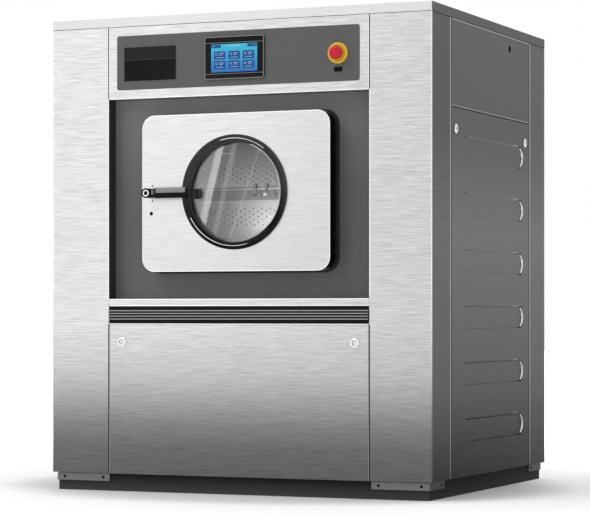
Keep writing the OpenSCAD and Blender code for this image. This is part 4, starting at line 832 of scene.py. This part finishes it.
@dataclass
class CabinetTrim:
    """Painted highlights and painted shade that give the sheet metal its lines: on seams, rolled corners, vent ridges
    and the pressed beads.
    """

    half_x: float = 672.0
    half_y: float = 576.0
    field_x: float = 462.0
    side_y: float = 406.0
    bottom: float = 58.0
    vent_z: float = 553.0
    sill_z: float = 609.0
    recess_z: float = 633.0
    fascia_z: float = 1290.0
    seam_z: float = 1247.0
    column_top: float = 1528.0
    proud: float = 0.25
    line: float = 3.0
    ridge_z: Tuple[float, ...] = (567.5, 576.5, 585.5, 594.5)
    ridge_front: float = -581.0
    bead_z: Tuple[float, ...] = (207.0, 390.0, 573.0, 756.0, 939.0, 1122.0)
    bead_end: float = 330.0
    bead_half: float = 38.0
    bead_depth: float = 5.0
    bead_run: float = 540.0
    roll_radius: float = 2.4
    roll_in: float = 2.1
    plinth: Pair = (657.0, 561.0)
    bracket_t: float = 4.0
    screw_z: float = 44.0
    screws_in: Pair = (24.0, 168.0)
    side_screw_in: float = 104.0

    def build(self) -> None:
        """Makes the cabinet's lines."""
        for side in Side:
            self.face_lines(side)
        self.corner_rolls()
        self.flank_lines()
        self.beads()
        self.bracket_screws()

    def across(self, x: float, z: float, width: float, height: float) -> Part:
        """A thin strip on a working face."""
        return strip((width, 2 * self.proud, height)), x, -self.half_y, z

    def face_lines(self, side: Side) -> None:
        """Painted highlights on the sheared edges of a working face, painted shade in its seams and under its vent
        strip, and painted highlights on the vent strip's ridges.
        """
        bright: List[Part] = []
        dark: List[Part] = []
        grey: List[Part] = []
        for s in (-1, 1):
            low, high = self.recess_z, self.fascia_z
            bright.append(self.across(s * (self.field_x + self.line / 2 + 0.3), (low + high) / 2, self.line,
                                      high - low - 4))
            for edge, low, high in ((grey, self.bottom, self.vent_z), (bright, self.fascia_z, self.column_top)):
                dark.append(self.across(s * (self.field_x + 0.8), (low + high) / 2, 3.2, high - low - 4))
                edge.append(self.across(s * (self.field_x - 2.1), (low + high) / 2, 2.4, high - low - 6))
        full = 2 * self.field_x - 4
        bright += [self.across(0, z, full, self.line)
                   for z in (self.fascia_z + 1.4, self.recess_z - 1.3, self.sill_z + 2.0, self.vent_z - 2.0)]
        dark += [self.across(0, self.vent_z - 4.4, full, 1.2),
                 self.across(0, self.column_top - 0.2, 2 * self.half_x - 6, 1.6)]
        make("low_face_edge_highlights", GREY_LINE, "root", "stainless", *grey, side=side)
        make("face_edge_highlights", PALE_LINE, "root", "stainless", *bright, side=side)
        make("face_seam_shade", DARK_GAP, "root", "stainless", *dark, side=side)
        make("vent_ridge_lines", RIDGE_GREY, "root", "vent_black",
             *((strip((full, 1.2, 3.8)), 0, self.ridge_front + 0.6, z) for z in self.ridge_z), side=side)

    def corner_rolls(self) -> None:
        """The rolled folds of the four corners, with a white line of painted highlight that painted shade darkens
        towards the floor.
        """
        rolls, height = [], self.column_top - self.bottom - 4
        for x in (-1, 1):
            for y in (-1, 1):
                roll = bmesh.new()
                bmesh.ops.create_cone(roll, cap_ends=True, segments=24, radius1=self.roll_radius * MM,
                                      radius2=self.roll_radius * MM, depth=height * MM)
                rolls.append((roll, x * (self.half_x - self.roll_in), y * (self.half_y - self.roll_in),
                              self.bottom + 2 + height / 2))
        make("corner_rolls", ROLLED_EDGE, "root", "stainless", *rolls)

    def flank_lines(self) -> None:
        """Painted highlights on the edges and painted shade in the seams on the flanks."""
        height, field, whole = self.column_top - self.bottom - 4, 2 * self.side_y - 10, 2 * self.half_y - 10
        mid_z, y, top = self.bottom + 2 + height / 2, self.side_y, self.column_top
        # Place along the flank, height, width and tallness of each strip.
        bright = [(-y, mid_z, 9.0, height), (y, mid_z, 9.0, height), (0, self.seam_z + 1.4, field, 2.4),
                  (0, top - 4.0, field, 3.0)]
        dark = [(7.6 - y, mid_z, 6.0, height), (y - 7.6, mid_z, 6.0, height), (0, self.seam_z - 2.2, field, 3.4),
                (0, top - 0.8, whole, 2.2)]
        for name, look, lines in (("flank_edge_highlights", FLANK_EDGE, bright), ("flank_seam_shade", DARK_GAP, dark)):
            make(name, look, "root", "side_sheet",
                 *((strip((2 * self.proud, width, tall)), x, y, z)
                   for x in (-self.half_x, self.half_x) for y, z, width, tall in lines))

    def beads(self) -> None:
        """Painted highlights on the pressed beads: white on their rear walls and a thin light on their upper edges,
        with painted shade at their lower rear ends.
        """
        walls, tails, lights, slopes = [], [], [], []
        mid_y, quarter = self.bead_end - self.bead_half, Matrix.Rotation(math.pi / 2, 4, "Z")
        for x in (-1, 1):
            flip = Matrix.Scale(x, 4, (1, 0, 0))
            for z in self.bead_z:
                place, top = flip @ at(self.half_x - self.bead_depth + 0.2, mid_y, z) @ quarter, z + self.bead_half
                walls.append((self.bead_wall(-62, 124), place))
                tails.append((self.bead_wall(-88, 24), place))
                lights.append((strip((0.5, 64, 1.8)), flip @ at(self.half_x - 0.1, mid_y - 44, top + 0.6)))
                slopes.append((self.bead_slope(), flip @ at(self.half_x, mid_y - self.bead_run / 2, top)))
        for name, look, parts in (("bead_slopes", SIDE_SHEET, slopes), ("bead_wall_highlights", PALE_LINE, walls),
                                  ("bead_tail_shade", DARK_GAP, tails), ("bead_edge_lights", FLANK_EDGE, lights)):
            make(name, look, "root", "side_sheet", *parts)

    def bead_slope(self) -> Solid:
        """The sloping upper wall of a bead: a three-sided bar whose corner lies at the origin's edge."""
        bm = bmesh.new()
        corners = [(-self.bead_depth, 0), (-0.05, 0), (-self.bead_depth, -self.bead_depth)]
        bm.faces.new([bm.verts.new((x * MM, -self.bead_run / 2 * MM, z * MM)) for x, z in corners])
        extrude(bm, (0, self.bead_run * MM, 0))
        return bm

    def bead_wall(self, start: float, sweep: float) -> Solid:
        """The inner wall at the end of a bead, from an angle over a sweep in degrees; it narrows towards its ends.

        The bead's floor lies at y = 0 and its mouth towards -Y.
        """
        r, deep = self.bead_half, self.bead_depth - 0.4
        bm = turned([(r - 2.2, 0), (r, 0), (r, -deep), (r - 0.6, -deep), (r - 2.2, 0)], 28, start, sweep)
        middle, half = math.radians(start + sweep / 2), math.radians(sweep / 2)
        for vert in bm.verts:
            angle = math.atan2(vert.co.z, vert.co.x)
            share = 1 - (abs(angle - middle) / half) ** 3
            vert.co.y *= 0.15 + 0.85 * max(share, 0.0)
        return bm

    def bracket_screws(self) -> None:
        """Pan-head screws in the corner brackets."""
        screws, (x, y), t = [], self.plinth, self.bracket_t
        for s in (-1, 1):
            for side in Side:
                flank = Matrix.Rotation(math.radians(90 if side is Side.LOAD else -90), 4, "Z")
                places = [side.place @ at(s * (x - inward), -y - t, self.screw_z) for inward in self.screws_in]
                places.append(flank @ at(s * (y - self.side_screw_in), -x - t, self.screw_z))
                screws += [(disc(4.6, 1.6, 20), place) for place in places]
        make("bracket_screws", DARK_GAP, "root", "bracket_zinc", *screws)


@dataclass
class LockInserts:
    """The key slots in the heads of the quarter-turn locks, and the dark rings of those on the working faces."""

    head_floor: float = 2.0
    slot_floor: float = 3.6
    slot_turn: float = 35.0
    face_x: float = 413.0
    face_z: float = 492.0
    flank_z: float = 1176.0
    flank_y: Pair = (-360.0, 346.0)
    half_x: float = 672.0
    half_y: float = 576.0

    def places(self) -> Dict[str, Matrix]:
        """The place of each lock's head, by the name of its body."""
        quarter = Matrix.Rotation(math.pi / 2, 4, "Z")
        found = {}
        for side, face in ((Side.LOAD, "front"), (Side.UNLOAD, "rear")):
            for s, end in ((-1, "left"), (1, "right")):
                found[f"lock_{face}_{end}"] = side.place @ at(s * self.face_x, -self.half_y, self.face_z)
        for y, end in zip(self.flank_y, ("front", "rear")):
            found[f"lock_right_{end}"] = at(self.half_x, y, self.flank_z) @ quarter
            found[f"lock_left_{end}"] = at(-self.half_x, y, self.flank_z) @ quarter.inverted()
        return found

    def build(self) -> None:
        """Makes one insert for each lock."""
        turn = Matrix.Rotation(math.radians(self.slot_turn), 4, "Y")
        for body, place in self.places().items():
            parts = [(strip((2.2, 0.8, 6.4)), place @ at(0, -self.slot_floor, 0) @ turn)]
            if body.startswith(("lock_front", "lock_rear")):
                parts.insert(0, (ring(6.9, 8.7, 0.6, 32), place @ at(0, -self.head_floor, 0)))
            make(f"{body}_insert", DARK_GAP, body, "chrome", *parts)


@dataclass
class Studio:
    """The camera of the photograph, a pale floor and plain soft light."""

    place: Point = (3.2418, -7.5376, 0.5805)
    heading: float = 23.55
    lens: float = 145.43
    rise: float = 0.0898
    floor_half: float = 30.0
    # The floor's own glow on ellipses about the plinth, which paints a shadow round the machine: their size over the
    # plinth's, and the glow there.
    # It is none in the painted contact shadow and full far away. The shift moves them towards -X and -Y.
    plinth_half: Pair = (0.657, 0.561)
    shadow_shift: Pair = (0.03, 0.12)
    glow_stops: Tuple[Pair, ...] = ((1.15, 0.0), (1.3, 0.06), (1.42, 0.17), (1.54, 0.28), (2.0, 0.30), (5.0, 1.0))
    drum_power: float = 0.38
    # Soft lamps: name, place, aim, width and height in metres, and watts.
    lamps: Tuple[Tuple[str, Point, Point, Pair, float], ...] = (
        ("key", (-2.6, -3.4, 5.0), (0.0, -0.2, 0.8), (3.4, 3.4), 85.0),
        ("fill", (4.4, -3.0, 4.4), (0.3, 0.0, 0.8), (3.0, 3.0), 6.0),
        ("back", (-0.5, 3.6, 5.0), (0.0, 0.0, 0.8), (3.0, 3.0), 40.0))
    # Lamps whose reflections lie as slanting bands in the window: place, width, power and lean in degrees.
    window_bands: Tuple[Four, ...] = (
        (-1.905, 0.28, 1.3, 14.5), (-1.744, 0.042, 0.60, 14.5), (-1.664, 0.026, 0.10, 14.0),
        (-1.552, 0.006, 0.04, 20.0))
    band_y: float = -4.0
    band_z: float = 1.17
    room_light: float = 0.62

    def build(self) -> None:
        """Sets the camera, the world, the lamps and the floor."""
        self.camera()
        self.world()
        for lamp in self.lamps:
            self.lamp(*lamp)
        for s in (-1, 1):
            self.lamp("drum_light", (-0.04 * s, s * 0.53, 0.80), (-0.04 * s, s * 0.36, 0.90), (0.26, 0.04),
                      self.drum_power)
        for x, width, power, lean in self.window_bands:
            self.lamp("window_band", (x, self.band_y, self.band_z), (x, 0.0, self.band_z), (width, 1.3), power, lean)
        self.floor()

    def camera(self) -> None:
        """Stands the camera level at the photograph's viewpoint."""
        data = bpy.data.cameras.new("camera")
        data.sensor_width, data.lens, data.shift_y = 36.0, self.lens, self.rise
        made = to_scene("camera", data)
        made.location = self.place
        made.rotation_euler = (math.pi / 2, 0, math.radians(self.heading))
        bpy.context.scene.camera = made

    def world(self) -> None:
        """A white room: plain light on dull surfaces, full white where it is seen or mirrored."""
        scene = bpy.context.scene
        scene.view_settings.view_transform = "Standard"
        scene.world = bpy.data.worlds.new("room")
        tree = empty_tree(scene.world)
        seen = rays(tree, "Is Camera Ray", "Is Glossy Ray", "Is Transmission Ray")
        power = remap(tree, seen, 0.0, 1.0, self.room_light, 1.0)
        light = add(tree, "Background", {"Color": (1, 1, 1, 1)}, {"Strength": power})
        add(tree, "OutputWorld", links={"Surface": light.outputs[0]})

    def lamp(self, name: str, place: Point, aim: Point, size: Pair, power: float, lean: float = 0.0) -> None:
        """Hangs a soft lamp that faces a point, with a size in metres, a power in watts and a lean in degrees."""
        data = bpy.data.lights.new(name, "AREA")
        data.shape = "RECTANGLE"
        data.energy, data.size, data.size_y = power, *size
        made = to_scene(name, data)
        turn = (Vector(aim) - Vector(place)).to_track_quat("-Z", "Y").to_matrix().to_4x4()
        made.matrix_world = Matrix.Translation(place) @ turn @ Matrix.Rotation(math.radians(-lean), 4, "Z")
        made.visible_camera = False

    def floor(self) -> None:
        """Lays a pale floor that fades into the room and keeps the soft shadow; its glow, missing close round the
        plinth, paints a wider shadow there.
        """
        bm = bmesh.new()
        bmesh.ops.create_grid(bm, x_segments=1, y_segments=1, size=self.floor_half)
        mesh = to_mesh("floor", bm)
        look = bpy.data.materials.new("pale_studio_floor")
        tree = empty_tree(look)
        seen = rays(tree, "Is Camera Ray", "Is Glossy Ray")
        place = add(tree, "TexCoord").outputs["Object"]
        scale = [1 / half for half in self.plinth_half]
        shift = [move * factor for move, factor in zip(self.shadow_shift, scale)]
        ellipse = add(tree, "Mapping", {"Location": (*shift, 0.0), "Scale": (*scale, 0.0)}, {"Vector": place})
        far = add(tree, "VectorMath", {"operation": "LENGTH"}, {0: ellipse.outputs[0]}).outputs["Value"]
        greys = [(size, (grey, grey, grey, 1.0)) for size, grey in self.glow_stops]
        share = calc(tree, "MULTIPLY", ramp(tree, far, self.glow_stops[-1][0], greys), seen)
        glow = add(tree, "Emission", {"Color": (1, 1, 1, 1)}, {"Strength": share})
        paint = add(tree, "BsdfDiffuse", {"Color": linear("#f6f6f6")})
        both = add(tree, "AddShader", links={0: paint.outputs[0], 1: glow.outputs[0]})
        add(tree, "OutputMaterial", links={"Surface": both.outputs[0]})
        mesh.materials.append(look)
        to_scene("floor", mesh)


def main() -> None:
    """Sets the studio, dresses the nodes and makes the new pieces."""
    logging.basicConfig(level=logging.INFO, format="%(name)s: %(message)s")
    Studio().build()
    finish_nodes()
    for assembly in (ControlPanel(), DoorTrim(Side.LOAD), DoorTrim(Side.UNLOAD), HatchBand(), CabinetTrim(),
                     LockInserts()):
        assembly.build()
        LOG.info("built %s", type(assembly).__name__)


if __name__ == "__main__":
    main()
